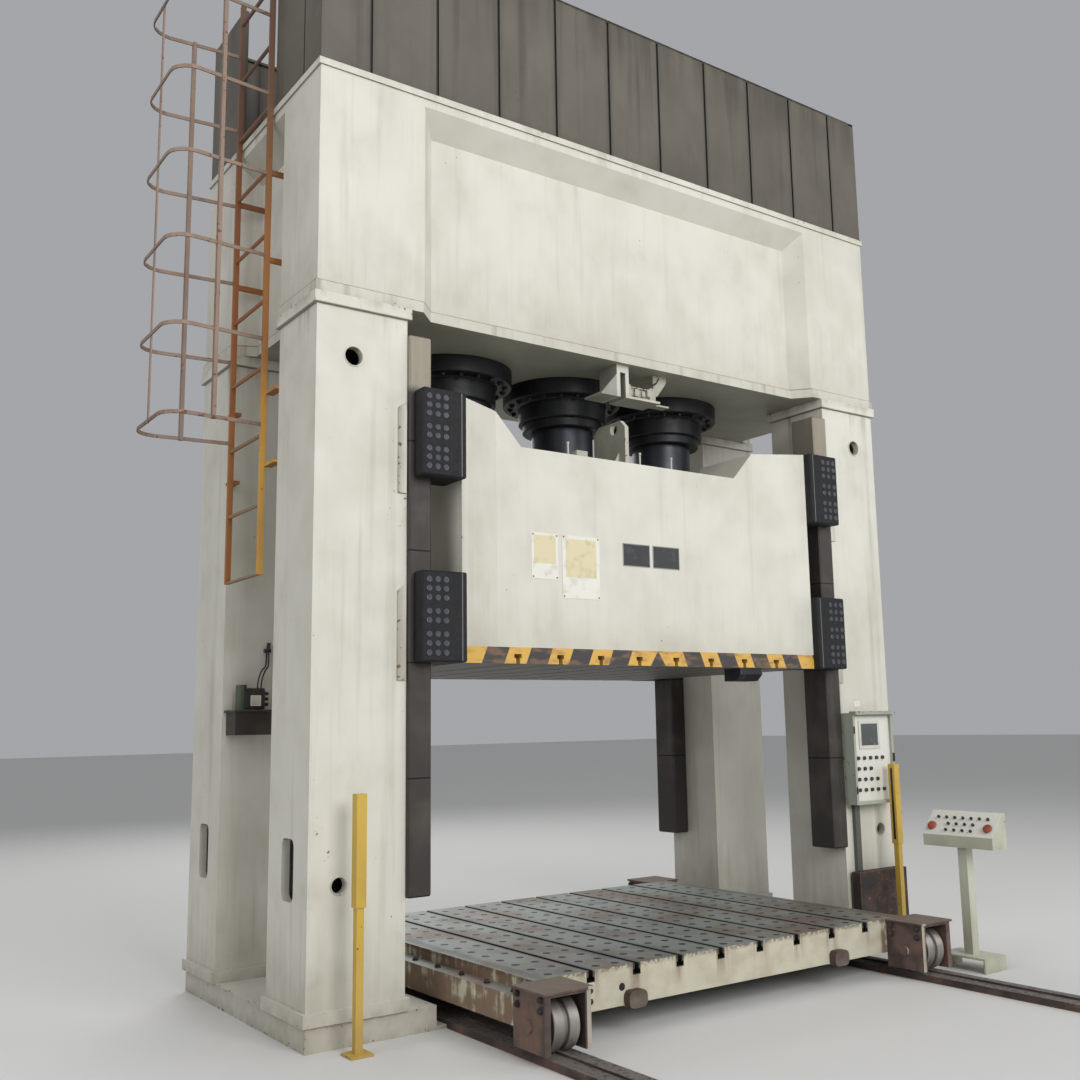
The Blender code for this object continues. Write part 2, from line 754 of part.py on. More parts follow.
def crown_panel_cutters(proud, tag):
    """Cutters for the recessed panels on the four sides of the crown.

    A face that stands proud of the crown starts its recess that much further out.
    """
    # The slopes run from the face to the panel, so a cutter that starts
    # outside the face is widened by the same slope.
    reach = proud + OVERRUN
    top = CROWN_TOP - PANEL_TOP_MARGIN
    bottom = CROWN_BOTTOM - OVERRUN
    cutters = []
    widen = PANEL_SIDE_SLOPE / PANEL_DEPTH
    raise_top = PANEL_TOP_SLOPE / PANEL_DEPTH
    half = HALF_WIDTH - PILASTER_WIDTH
    for end in (-1, 1):
        face = end * HALF_DEPTH
        near = face + end * reach
        far = face - end * (PANEL_DEPTH - proud)
        span = abs(near - far)
        outer = half + widen * reach
        low_y, high_y = sorted((near, far))
        cutters.append(
            tapered_cutter(
                f"crown_panel_{END_NAMES[end]}_{tag}",
                (-outer, low_y, bottom),
                (outer, high_y, top + raise_top * reach),
                (0, end, 0),
                widen * span,
                raise_top * span,
            )
        )
    widen = END_PANEL_SLOPE / END_PANEL_DEPTH
    raise_top = PANEL_TOP_SLOPE / END_PANEL_DEPTH
    for side in (-1, 1):
        face = side * HALF_WIDTH
        near = face + side * reach
        far = face - side * (END_PANEL_DEPTH - proud)
        span = abs(near - far)
        outer = WINDOW_HALF + widen * reach
        low_x, high_x = sorted((near, far))
        cutters.append(
            tapered_cutter(
                f"crown_panel_{SIDE_NAMES[side]}_{tag}",
                (low_x, -outer, bottom),
                (high_x, outer, top + raise_top * reach),
                (side, 0, 0),
                widen * span,
                raise_top * span,
            )
        )
    return cutters


def build_crown():
    crown = block(
        "crown",
        (-HALF_WIDTH, -HALF_DEPTH, CROWN_BOTTOM),
        (HALF_WIDTH, HALF_DEPTH, CROWN_TOP),
        CREAM,
    )
    cut(crown, *crown_panel_cutters(0, "body"))
    sole = block(
        "crown_bottom_flange",
        (-HALF_WIDTH - CROWN_FLANGE_PROUD, -HALF_DEPTH - CROWN_FLANGE_PROUD, CROWN_BOTTOM),
        (HALF_WIDTH + CROWN_FLANGE_PROUD, HALF_DEPTH + CROWN_FLANGE_PROUD, CROWN_BOTTOM + FLANGE_THICKNESS),
    )
    cut(sole, *crown_panel_cutters(CROWN_FLANGE_PROUD, "flange"))
    roof = block(
        "crown_top_plate",
        (-HALF_WIDTH - CROWN_FLANGE_PROUD, -HALF_DEPTH - CROWN_FLANGE_PROUD, CROWN_TOP - CROWN_TOP_PLATE),
        (HALF_WIDTH + CROWN_FLANGE_PROUD, HALF_DEPTH + CROWN_FLANGE_PROUD, CROWN_TOP),
    )
    join(crown, sole, roof)
    bores = [
        bar(
            f"crown_bore_{index}",
            (x, 0, CROWN_BOTTOM - OVERRUN),
            (x, 0, CYLINDER_BOTTOM + CYLINDER_LENGTH + RUNNING),
            CYLINDER_RADIUS + RUNNING,
            CYLINDER_SIDES,
        )
        for index, x in enumerate(CYLINDER_XS)
    ]
    tie_holes = [
        bar(
            f"crown_tie_hole_{SIDE_NAMES[side]}_{END_NAMES[end]}",
            (side * COLUMN_X, end * COLUMN_Y, CROWN_BOTTOM - OVERRUN),
            (side * COLUMN_X, end * COLUMN_Y, CROWN_TOP + OVERRUN),
            TIE_HOLE_RADIUS,
        )
        for side, end in CORNERS
    ]
    cut(crown, *bores, *tie_holes)


def build_tie_rod(side, end):
    """A prestressed rod from the bed to a hexagon nut on the crown."""
    tag = f"{SIDE_NAMES[side]}_{END_NAMES[end]}"
    x, y = side * COLUMN_X, end * COLUMN_Y
    nut_foot = CROWN_TOP + GAP
    nut_head = nut_foot + TIE_NUT_HEIGHT
    rod = bar(
        f"tie_rod_{tag}",
        (x, y, BED_HEIGHT - TIE_ROD_DEPTH_IN_BED + GAP),
        (x, y, nut_head + TIE_ROD_TIP),
        TIE_ROD_RADIUS,
        16,
        DARK_STEEL,
    )
    join(
        rod,
        bar(
            f"tie_nut_{tag}",
            (x, y, nut_foot),
            (x, y, nut_head),
            TIE_NUT_RADIUS,
            6,
        ),
    )


def build_guard():
    """Sheet panels round the top of the crown, with a gate at the ladder."""
    foot, head = CROWN_TOP + GAP, CROWN_TOP + GUARD_HEIGHT
    guard = block(
        "guard_fence", (-HALF_WIDTH, -HALF_DEPTH, foot), (HALF_WIDTH, HALF_DEPTH, head), SHEET
    )
    room = block(
        "guard_room",
        (-HALF_WIDTH + GUARD_THICKNESS, -HALF_DEPTH + GUARD_THICKNESS, foot - OVERRUN),
        (HALF_WIDTH - GUARD_THICKNESS, HALF_DEPTH - GUARD_THICKNESS, head + OVERRUN),
    )
    gate = block(
        "guard_gate",
        (-HALF_WIDTH - OVERRUN, GATE_FRONT, foot - OVERRUN),
        (-HALF_WIDTH + GUARD_THICKNESS + OVERRUN, GATE_BACK, head + OVERRUN),
    )
    cut(guard, room, gate)
    seam = GUARD_SEAM_WIDTH / 2
    panels = round((FRAME_WIDTH - GUARD_PANEL) / GUARD_PANEL)
    for end in (-1, 1):
        face = end * HALF_DEPTH
        low_y, high_y = sorted((face - end * GUARD_SEAM_DEPTH, face + end * OVERRUN))
        for index in range(panels + 1):
            x = (index - panels / 2) * GUARD_PANEL
            cut(
                guard,
                block(
                    f"guard_seam_{END_NAMES[end]}_{index}",
                    (x - seam, low_y, foot - OVERRUN),
                    (x + seam, high_y, head + OVERRUN),
                ),
            )
    for side in (-1, 1):
        face = side * HALF_WIDTH
        low_x, high_x = sorted((face - side * GUARD_SEAM_DEPTH, face + side * OVERRUN))
        for end in (-1, 1):
            y = end * (HALF_DEPTH - GUARD_END_PANEL)
            cut(
                guard,
                block(
                    f"guard_seam_{SIDE_NAMES[side]}_{END_NAMES[end]}",
                    (low_x, y - seam, foot - OVERRUN),
                    (high_x, y + seam, head + OVERRUN),
                ),
            )


def build_guide_rail(side, end):
    """A hardened rail on the inner face of a column."""
    tag = f"{SIDE_NAMES[side]}_{END_NAMES[end]}"
    low_x, high_x = sorted((side * RAIL_INNER, side * (RAIL_INNER + RAIL_WIDTH)))
    low_y, high_y = sorted((end * RAIL_FRONT, end * (RAIL_FRONT - RAIL_DEPTH)))
    rail = block(
        f"guide_rail_{tag}",
        (low_x, low_y, RAIL_FOOT),
        (high_x, high_y, RAIL_HEAD),
        DARK_STEEL,
    )
    soften(rail, RAIL_CHAMFER)


def build_guide_shoe(side, end, level, low):
    """An L-shaped shoe on a corner of the slide that wraps the rail."""
    tag = f"{SIDE_NAMES[side]}_{END_NAMES[end]}_{level}"
    inner = SLIDE_HALF + GAP
    face = SLIDE_FACE + SHOE_PROUD
    wrap = RAIL_FRONT + GAP
    leg = RAIL_INNER - GAP
    outline = [
        (inner, face),
        (RAIL_INNER + SHOE_LAP, face),
        (RAIL_INNER + SHOE_LAP, wrap),
        (leg, wrap),
        (leg, SLIDE_FACE - SHOE_LEG_DEPTH),
        (inner, SLIDE_FACE - SHOE_LEG_DEPTH),
    ]
    shoe = slab(
        f"guide_shoe_{tag}",
        [(side * u, end * v) for u, v in outline],
        "Z",
        low,
        low + SHOE_HEIGHT,
        BLACK,
    )
    soften(shoe, SHOE_CHAMFER)


def build_slide():
    """The slide: a welded body over a T-slotted plate, with sunken front and rear panels."""
    panel = SLIDE_FACE - SLIDE_PANEL_DEPTH
    plan = [
        (-SLIDE_HALF, -SLIDE_FACE),
        (-SLIDE_CREASE_X, -panel),
        (SLIDE_CREASE_X, -panel),
        (SLIDE_HALF, -SLIDE_FACE),
        (SLIDE_HALF, SLIDE_FACE),
        (SLIDE_CREASE_X, panel),
        (-SLIDE_CREASE_X, panel),
        (-SLIDE_HALF, SLIDE_FACE),
    ]
    plate_top = SLIDE_BOTTOM + SLIDE_PLATE
    slide = slab("slide", plan, "Z", plate_top - SLIDE_UNION_LAP, SLIDE_END_TOP, CREAM)
    slope = (SLIDE_CREASE_X - SLIDE_NOTCH_X) / (SLIDE_END_TOP - SLIDE_CENTRE_TOP)
    notch_top = SLIDE_END_TOP + OVERRUN
    wide = SLIDE_CREASE_X + slope * OVERRUN
    notch = slab(
        "slide_notch",
        [
            (-SLIDE_NOTCH_X, SLIDE_CENTRE_TOP),
            (SLIDE_NOTCH_X, SLIDE_CENTRE_TOP),
            (wide, notch_top),
            (-wide, notch_top),
        ],
        "Y",
        -SLIDE_FACE - OVERRUN,
        SLIDE_FACE + OVERRUN,
    )
    seats = [
        bar(
            f"slide_seat_{index}",
            (x, 0, RAM_SEAT),
            (x, 0, SLIDE_END_TOP + OVERRUN),
            RAM_FLANGE_RADIUS + RAM_SEAT_CLEARANCE,
            CYLINDER_SIDES,
        )
        for index, x in enumerate(CYLINDER_XS, 1)
    ]
    cut(slide, notch, *seats)
    plate = block(
        "slide_plate",
        (-SLIDE_HALF, -SLIDE_FACE, SLIDE_BOTTOM),
        (SLIDE_HALF, SLIDE_FACE, plate_top),
    )
    join(slide, plate)
    cut_slots(slide, SLIDE_BOTTOM, 1, -SLIDE_FACE, SLIDE_FACE)


def build_cylinder(index, x):
    """A flanged main cylinder, open at its gland, let into the crown from below."""
    bore = RAM_RADIUS + GAP
    top = CYLINDER_BOTTOM + CYLINDER_LENGTH
    flange_top = CROWN_BOTTOM - GAP
    flange_foot = flange_top - CYLINDER_FLANGE_THICKNESS
    profile = [
        (0, top),
        (CYLINDER_RADIUS, top),
        (CYLINDER_RADIUS, flange_top),
        (CYLINDER_FLANGE_RADIUS, flange_top),
        (CYLINDER_FLANGE_RADIUS, flange_foot),
        (CYLINDER_RADIUS, flange_foot),
        (CYLINDER_RADIUS, CYLINDER_BOTTOM + CYLINDER_GLAND_HEIGHT),
        (CYLINDER_GLAND_RADIUS, CYLINDER_BOTTOM + CYLINDER_GLAND_HEIGHT),
        (CYLINDER_GLAND_RADIUS, CYLINDER_BOTTOM),
        (bore, CYLINDER_BOTTOM),
        (bore, top - CYLINDER_HEAD),
        (0, top - CYLINDER_HEAD),
    ]
    turned(f"main_cylinder_{index}", profile, (x, 0, 0), "Z", CYLINDER_SIDES, BLACK)


def build_ram(index, x):
    foot = RAM_SEAT + GAP
    profile = [
        (0, RAM_TOP),
        (RAM_RADIUS, RAM_TOP),
        (RAM_RADIUS, foot + RAM_FLANGE_THICKNESS),
        (RAM_FLANGE_RADIUS, foot + RAM_FLANGE_THICKNESS),
        (RAM_FLANGE_RADIUS, foot),
        (0, foot),
    ]
    turned(f"ram_{index}", profile, (x, 0, 0), "Z", CYLINDER_SIDES, CHROME)


def build_lock():
    """The slide lock: a lug on the slide, and a clevis, a pin and its actuator on the crown."""
    half = LUG_THICKNESS / 2
    foot = SLIDE_CENTRE_TOP + GAP
    back = LUG_FRONT + LUG_DEPTH
    top = SLIDE_CENTRE_TOP + LUG_HEIGHT
    lug = slab(
        "lock_lug",
        [
            (LUG_FRONT, foot),
            (back, foot),
            (back, top - LUG_CHAMFER),
            (back - LUG_CHAMFER, top),
            (LUG_FRONT + LUG_CHAMFER, top),
            (LUG_FRONT, top - LUG_CHAMFER),
        ],
        "X",
        LUG_X - half,
        LUG_X + half,
        CREAM,
    )
    cut(
        lug,
        bar(
            "lock_lug_hole",
            (LUG_X - half - OVERRUN, LUG_HOLE_Y, LUG_HOLE_HEIGHT),
            (LUG_X + half + OVERRUN, LUG_HOLE_Y, LUG_HOLE_HEIGHT),
            LUG_HOLE_RADIUS,
            20,
        ),
    )
    head = CROWN_BOTTOM - GAP
    body_half = LOCK_BODY / 2
    base_top = PIN_HEIGHT - body_half - GAP
    cheek_foot = base_top - LOCK_BASE
    low_y, high_y = LUG_HOLE_Y - LOCK_CHEEK_DEPTH / 2, LUG_HOLE_Y + LOCK_CHEEK_DEPTH / 2
    outer = LOCK_GAP / 2 + LOCK_CHEEK
    bracket = block(
        "lock_bracket",
        (LUG_X - outer, low_y, cheek_foot),
        (LUG_X + outer, high_y, head),
        CREAM,
    )
    throat = block(
        "lock_throat",
        (LUG_X - LOCK_GAP / 2, low_y - OVERRUN, cheek_foot - OVERRUN),
        (LUG_X + LOCK_GAP / 2, high_y + OVERRUN, head - LOCK_ROOF),
    )
    gusset_x = LUG_X - outer
    gusset = slab(
        "lock_gusset",
        [
            (gusset_x + LOCK_CHEEK / 2, head - LOCK_ROOF),
            (gusset_x - LOCK_GUSSET_WIDTH, base_top - LOCK_BASE / 2),
            (gusset_x + LOCK_CHEEK / 2, base_top - LOCK_BASE / 2),
        ],
        "Y",
        low_y,
        low_y + LOCK_GUSSET_THICKNESS,
    )
    body_start = LUG_X + outer + GAP
    body_end = body_start + LOCK_BODY_LENGTH
    base = block(
        "lock_base",
        (gusset_x - LOCK_GUSSET_WIDTH, low_y, cheek_foot),
        (body_end, high_y, base_top),
    )
    pin_hole = bar(
        "lock_pin_hole",
        (LUG_X - outer - LOCK_GUSSET_WIDTH - OVERRUN, LUG_HOLE_Y, PIN_HEIGHT),
        (LUG_X + outer + OVERRUN, LUG_HOLE_Y, PIN_HEIGHT),
        PIN_RADIUS + GAP,
        20,
    )
    join(bracket, base, gusset)
    cut(bracket, throat, pin_hole)
    pin_tip = LUG_X + LOCK_GAP / 2 + PIN_STANDOFF
    bar(
        "lock_pin",
        (pin_tip, LUG_HOLE_Y, PIN_HEIGHT),
        (pin_tip + PIN_LENGTH, LUG_HOLE_Y, PIN_HEIGHT),
        PIN_RADIUS,
        20,
        STEEL,
    )
    front_head, rear_head = [
        block(
            name,
            (low_x, LUG_HOLE_Y - body_half, PIN_HEIGHT - body_half),
            (low_x + LOCK_BODY_HEAD, LUG_HOLE_Y + body_half, PIN_HEIGHT + body_half),
            material,
        )
        for name, low_x, material in (
            ("lock_actuator", body_start, CREAM),
            ("lock_rear_head", body_end - LOCK_BODY_HEAD, None),
        )
    ]
    lap = LOCK_BODY_HEAD / 2
    tie = body_half - LOCK_TIE_INSET
    rods = [
        bar(
            f"lock_{name}",
            (body_start + lap, LUG_HOLE_Y + y, PIN_HEIGHT + z),
            (body_end - lap, LUG_HOLE_Y + y, PIN_HEIGHT + z),
            radius,
            sides,
        )
        for name, y, z, radius, sides in (
            ("tube", 0, 0, PIN_RADIUS + GAP + LOCK_TUBE_WALL, 20),
            ("tie_1", -tie, -tie, LOCK_TIE_RADIUS, 8),
            ("tie_2", tie, -tie, LOCK_TIE_RADIUS, 8),
            ("tie_3", tie, tie, LOCK_TIE_RADIUS, 8),
            ("tie_4", -tie, tie, LOCK_TIE_RADIUS, 8),
        )
    ]
    body_bore = bar(
        "lock_actuator_bore",
        (body_start - OVERRUN, LUG_HOLE_Y, PIN_HEIGHT),
        (body_end - LOCK_BODY_WALL, LUG_HOLE_Y, PIN_HEIGHT),
        PIN_RADIUS + GAP,
        20,
    )
    join(front_head, rear_head, *rods)
    cut(front_head, body_bore)


def build_clamp():
    """A hydraulic die clamp hung from the slide's front edge."""
    top = SLIDE_BOTTOM - GAP
    front = -SLIDE_FACE + CLAMP_SETBACK
    half = CLAMP_WIDTH / 2
    slab(
        "die_clamp",
        [
            (front, top),
            (front, top - CLAMP_HEIGHT / 2),
            (front + CLAMP_NOSE, top - CLAMP_HEIGHT),
            (front + CLAMP_DEPTH, top - CLAMP_HEIGHT),
            (front + CLAMP_DEPTH, top),
        ],
        "X",
        CLAMP_X - half,
        CLAMP_X + half,
        DARK_STEEL,
    )


def build_bolster():
    """The rolling bolster with T-slots along Y, side ledges and hooks on its front edge."""
    half = BOLSTER_WIDTH / 2
    ledge_z = BOLSTER_TOP - LEDGE_DROP
    outline = [
        (-half, BOLSTER_BOTTOM),
        (-half, ledge_z),
        (-half + LEDGE_WIDTH, ledge_z),
        (-half + LEDGE_WIDTH, BOLSTER_TOP),
        (half - LEDGE_WIDTH, BOLSTER_TOP),
        (half - LEDGE_WIDTH, ledge_z),
        (half, ledge_z),
        (half, BOLSTER_BOTTOM),
    ]
    bolster = slab("bolster", outline, "Y", BOLSTER_FRONT, BOLSTER_BACK, STEEL)
    for side in (-1, 1):
        x = side * HOOK_X
        hook = slab(
            f"bolster_hook_{SIDE_NAMES[side]}",
            rounded(
                x - HOOK_WIDTH / 2,
                BOLSTER_BOTTOM - HOOK_DROP,
                x + HOOK_WIDTH / 2,
                BOLSTER_BOTTOM + HOOK_HEIGHT,
                HOOK_CORNER,
            ),
            "Y",
            BOLSTER_FRONT - HOOK_PROUD,
            BOLSTER_FRONT + OVERRUN,
        )
        join(bolster, smooth(hook))
    cut_slots(bolster, BOLSTER_TOP, -1, BOLSTER_FRONT, BOLSTER_BACK)


def axle_y(end):
    """The Y of an axle in front of or behind the bolster."""
    face = BOLSTER_FRONT if end < 0 else BOLSTER_BACK
    return face + end * (AXLE_OFFSET + GAP)


def build_wheel_box(side, end):
    """An open-fronted box under an overhanging lid that holds a wheel on its axle."""
    tag = f"{SIDE_NAMES[side]}_{END_NAMES[end]}"
    x = side * TRACK_X
    half = BOX_WIDTH / 2
    room = half - BOX_CHEEK
    foot = RAIL_TOP + BOX_CLEARANCE
    roof = BOLSTER_TOP - BOX_ROOF
    shoulder = BOLSTER_TOP - BOX_LID / 2
    outline = [
        (x - half, foot),
        (x - half, shoulder),
        (x + half, shoulder),
        (x + half, foot),
        (x + room, foot),
        (x + room, roof),
        (x - room, roof),
        (x - room, foot),
    ]
    near = BOLSTER_FRONT - GAP if end < 0 else BOLSTER_BACK + GAP
    low_y, high_y = sorted((near, near + end * BOX_LENGTH))
    box = slab(f"wheel_box_{tag}", outline, "Y", low_y, high_y, RUST)
    lid_low, lid_high = sorted((near, near + end * (BOX_LENGTH + BOX_LID_PROUD)))
    y = axle_y(end)
    join(
        box,
        block(
            f"wheel_box_lid_{tag}",
            (x - half - BOX_LID_PROUD, lid_low, BOLSTER_TOP - BOX_LID),
            (x + half + BOX_LID_PROUD, lid_high, BOLSTER_TOP),
        ),
        bar(
            f"wheel_axle_{tag}",
            (x - half - WHEEL_HUB_PROUD, y, AXLE_HEIGHT),
            (x + half + WHEEL_HUB_PROUD, y, AXLE_HEIGHT),
            AXLE_RADIUS,
            20,
        ),
    )


def build_wheel(side, end):
    """A twin-tread wheel whose centre groove runs over the rail's ridge."""
    tag = f"{SIDE_NAMES[side]}_{END_NAMES[end]}"
    half = WHEEL_WIDTH / 2
    hub = half + WHEEL_HUB_PROUD
    bore = AXLE_RADIUS + WHEEL_BORE_CLEARANCE
    groove = WHEEL_GROOVE / 2
    floor = WHEEL_RADIUS - WHEEL_GROOVE_DEPTH
    web = half - WHEEL_RECESS_DEPTH
    profile = [
        (bore, hub),
        (WHEEL_HUB_RADIUS, hub),
        (WHEEL_HUB_RADIUS, web),
        (WHEEL_RECESS_RADIUS, web),
        (WHEEL_RECESS_RADIUS, half),
        (WHEEL_RADIUS, half),
        (WHEEL_RADIUS, groove),
        (floor, groove),
        (floor, -groove),
        (WHEEL_RADIUS, -groove),
        (WHEEL_RADIUS, -half),
        (WHEEL_RECESS_RADIUS, -half),
        (WHEEL_RECESS_RADIUS, -web),
        (WHEEL_HUB_RADIUS, -web),
        (WHEEL_HUB_RADIUS, -hub),
        (bore, -hub),
    ]
    turned(
        f"wheel_{tag}",
        profile,
        (side * TRACK_X, axle_y(end), AXLE_HEIGHT),
        "X",
        WHEEL_SIDES,
        STEEL,
    )


def build_floor_rail(side):
    """A floor rail that passes through the bed, with a guiding ridge."""
    clear = HALF_DEPTH + TRACK_CLEARANCE
    outline = [
        (FLOOR_RAIL_FRONT, 0),
        (-clear, 0),
        (-clear, BED_WEB + GAP),
        (clear, BED_WEB + GAP),
        (clear, 0),
        (FLOOR_RAIL_BACK, 0),
        (FLOOR_RAIL_BACK, RAIL_TOP),
        (FLOOR_RAIL_FRONT, RAIL_TOP),
    ]
    x = side * TRACK_X
    half = FLOOR_RAIL_WIDTH / 2
    rail = slab(f"floor_rail_{SIDE_NAMES[side]}", outline, "X", x - half, x + half, RUST)
    ridge = FLOOR_RAIL_RIDGE / 2
    join(
        rail,
        block(
            f"floor_rail_ridge_{SIDE_NAMES[side]}",
            (x - ridge, FLOOR_RAIL_FRONT, RAIL_TOP - BED_WEB / 2),
            (x + ridge, FLOOR_RAIL_BACK, RAIL_TOP + FLOOR_RAIL_RIDGE_HEIGHT),
        ),
    )


def build_ladder():
    """Two stiles over a flat foot bar, round rungs, and stays to the columns and the crown."""
    inner_x = -LADDER_BACK
    outer_x = inner_x - STILE_DEPTH
    half = LADDER_WIDTH / 2
    stile = STILE_THICKNESS / 2
    stay = LADDER_STAY / 2
    ladder, rear_stile = [
        block(
            name,
            (outer_x, LADDER_CENTRE_Y + end * half - stile, LADDER_FOOT),
            (inner_x, LADDER_CENTRE_Y + end * half + stile, LADDER_HEAD),
            material,
        )
        for name, end, material in (("ladder", -1, YELLOW), ("ladder_rear_stile", 1, None))
    ]
    middle_x = (outer_x + inner_x) / 2
    rungs = int((LADDER_HEAD - LADDER_FOOT) / RUNG_PITCH)
    pieces = [
        block(
            "ladder_foot_bar",
            (middle_x - RUNG_RADIUS, LADDER_CENTRE_Y - half, LADDER_FOOT),
            (middle_x + RUNG_RADIUS, LADDER_CENTRE_Y + half, LADDER_FOOT + RUNG_RADIUS),
        )
    ]
    for index in range(1, rungs + 1):
        z = LADDER_FOOT + index * RUNG_PITCH
        pieces.append(
            bar(
                f"ladder_rung_{index}",
                (middle_x, LADDER_CENTRE_Y - half, z),
                (middle_x, LADDER_CENTRE_Y + half, z),
                RUNG_RADIUS,
                8,
            )
        )
    for level, z in enumerate((LADDER_FOOT + LADDER_BRACKET_RISE, CROWN_BOTTOM - RUNG_PITCH)):
        for end in (-1, 1):
            stile_y = LADDER_CENTRE_Y + end * half
            low_y, high_y = sorted((stile_y, end * (WINDOW_HALF - GAP)))
            pieces.append(
                block(
                    f"ladder_bracket_{level}_{END_NAMES[end]}",
                    (outer_x + STILE_THICKNESS, low_y, z - stay),
                    (-HALF_WIDTH + STILE_DEPTH, high_y, z + stay),
                )
            )
    panel_x = -HALF_WIDTH + END_PANEL_DEPTH - GAP
    for level, z in enumerate((CROWN_BOTTOM + RUNG_PITCH, CROWN_TOP - RUNG_PITCH)):
        for end in (-1, 1):
            stile_y = LADDER_CENTRE_Y + end * half
            pieces.append(
                block(
                    f"ladder_stay_{level}_{END_NAMES[end]}",
                    (outer_x + STILE_THICKNESS, stile_y - stay, z - STILE_DEPTH / 2),
                    (panel_x, stile_y + stay, z + STILE_DEPTH / 2),
                )
            )
    join(ladder, rear_stile, *pieces)


def hoop_outline(inset):
    """The outer or inner edge of a hoop, from the rear stile round to the front one."""
    start_x = -LADDER_BACK - STILE_DEPTH - GAP
    reach_x = start_x - CAGE_REACH + inset
    half = LADDER_WIDTH / 2 + STILE_THICKNESS / 2
    far = half + CAGE_FLARE - inset
    radius = CAGE_CORNER - inset
    points = [(start_x, LADDER_CENTRE_Y + half - inset)]
    for corner, (y_sign, start) in enumerate(((1, TURN / 4), (-1, TURN / 2))):
        centre_x = reach_x + radius
        centre_y = LADDER_CENTRE_Y + y_sign * (far - radius)
        steps = 5
        for step in range(steps + 1):
            angle = start + step / steps * TURN / 4
            points.append(
                (centre_x + radius * math.cos(angle), centre_y + radius * math.sin(angle))
            )
    points.append((start_x, LADDER_CENTRE_Y - half + inset))
    return points


def build_cage():
    """Flat-bar hoops and three vertical strips outside the ladder."""
    outline = hoop_outline(0) + hoop_outline(CAGE_BAR_THICKNESS)[::-1]
    bar_half = CAGE_BAR / 2
    hoops = [
        smooth(
            slab(
                "ladder_cage" if index == 0 else f"cage_hoop_{index}",
                outline,
                "Z",
                CAGE_FOOT + index * CAGE_PITCH - bar_half,
                CAGE_FOOT + index * CAGE_PITCH + bar_half,
                YELLOW if index == 0 else None,
            )
        )
        for index in range(CAGE_HOOPS)
    ]
    top = CAGE_FOOT + (CAGE_HOOPS - 1) * CAGE_PITCH + bar_half
    foot = CAGE_FOOT - bar_half
    start_x = -LADDER_BACK - STILE_DEPTH - GAP
    half = LADDER_WIDTH / 2 + STILE_THICKNESS / 2
    arm_x = start_x - CAGE_REACH / 2
    arm_y = half + CAGE_FLARE / 2
    lap = CAGE_BAR_THICKNESS * 2
    strips = [
        block(
            f"cage_strip_{END_NAMES[end]}",
            (arm_x - bar_half, LADDER_CENTRE_Y + end * arm_y - lap, foot),
            (arm_x + bar_half, LADDER_CENTRE_Y + end * arm_y + lap, top),
        )
        for end in (-1, 1)
    ]
    outer_x = start_x - CAGE_REACH
    strips.append(
        block(
            "cage_strip_outer",
            (outer_x + CAGE_BAR_THICKNESS / 2, LADDER_CENTRE_Y - bar_half, foot),
            (outer_x + CAGE_BAR_THICKNESS * 3 / 2, LADDER_CENTRE_Y + bar_half, top),
        )
    )
    join(hoops[0], *hoops[1:], *strips)


def build_lubricator():
    """A grease pump over its tank, on the front face of the rear left column."""
    back = WINDOW_HALF - GAP
    tank_half = LUBE_TANK_WIDTH / 2
    tank_top = LUBE_TANK_BOTTOM + LUBE_TANK_HEIGHT
    tank = block(
        "lube_tank",
        (LUBE_X - tank_half, back - LUBE_TANK_DEPTH, LUBE_TANK_BOTTOM),
        (LUBE_X + tank_half, back, tank_top),
        BLACK,
    )
    lid = block(
        "lube_tank_lid",
        (LUBE_X - tank_half - LUBE_LID, back - LUBE_TANK_DEPTH - LUBE_LID, tank_top - LUBE_LID),
        (LUBE_X + tank_half + LUBE_LID, back, tank_top),
    )
    join(tank, lid)
    pump_half = LUBE_PUMP_WIDTH / 2
    pump_foot = tank_top + GAP
    pump_top = pump_foot + LUBE_PUMP_HEIGHT
    front = back - LUBE_PUMP_DEPTH
    barrel_x = LUBE_X - pump_half + LUBE_BARREL_RADIUS
    barrel_y = front + LUBE_BARREL_RADIUS
    pump = block(
        "lube_pump",
        (barrel_x + LUBE_BARREL_RADIUS / 2, front, pump_foot),
        (LUBE_X + pump_half - LUBE_FITTING_LENGTH, back, pump_top),
        BLACK,
    )
    soften(pump, LUBE_LID / 2)
    barrel = bar(
        "lube_barrel",
        (barrel_x, barrel_y, pump_foot),
        (barrel_x, barrel_y, pump_top + LUBE_BARREL_CAP),
        LUBE_BARREL_RADIUS,
        20,
    )
    fittings = [
        bar(
            f"lube_fitting_{index}",
            (LUBE_X + pump_half - LUBE_FITTING_LENGTH * 2, barrel_y, z),
            (LUBE_X + pump_half, barrel_y, z),
            LUBE_FITTING_RADIUS,
            6,
        )
        for index, z in enumerate(
            pump_foot + (index + 1) * LUBE_PUMP_HEIGHT / (LUBE_FITTING_COUNT + 1)
            for index in range(LUBE_FITTING_COUNT)
        )
    ]
    join(pump, barrel, *fittings)


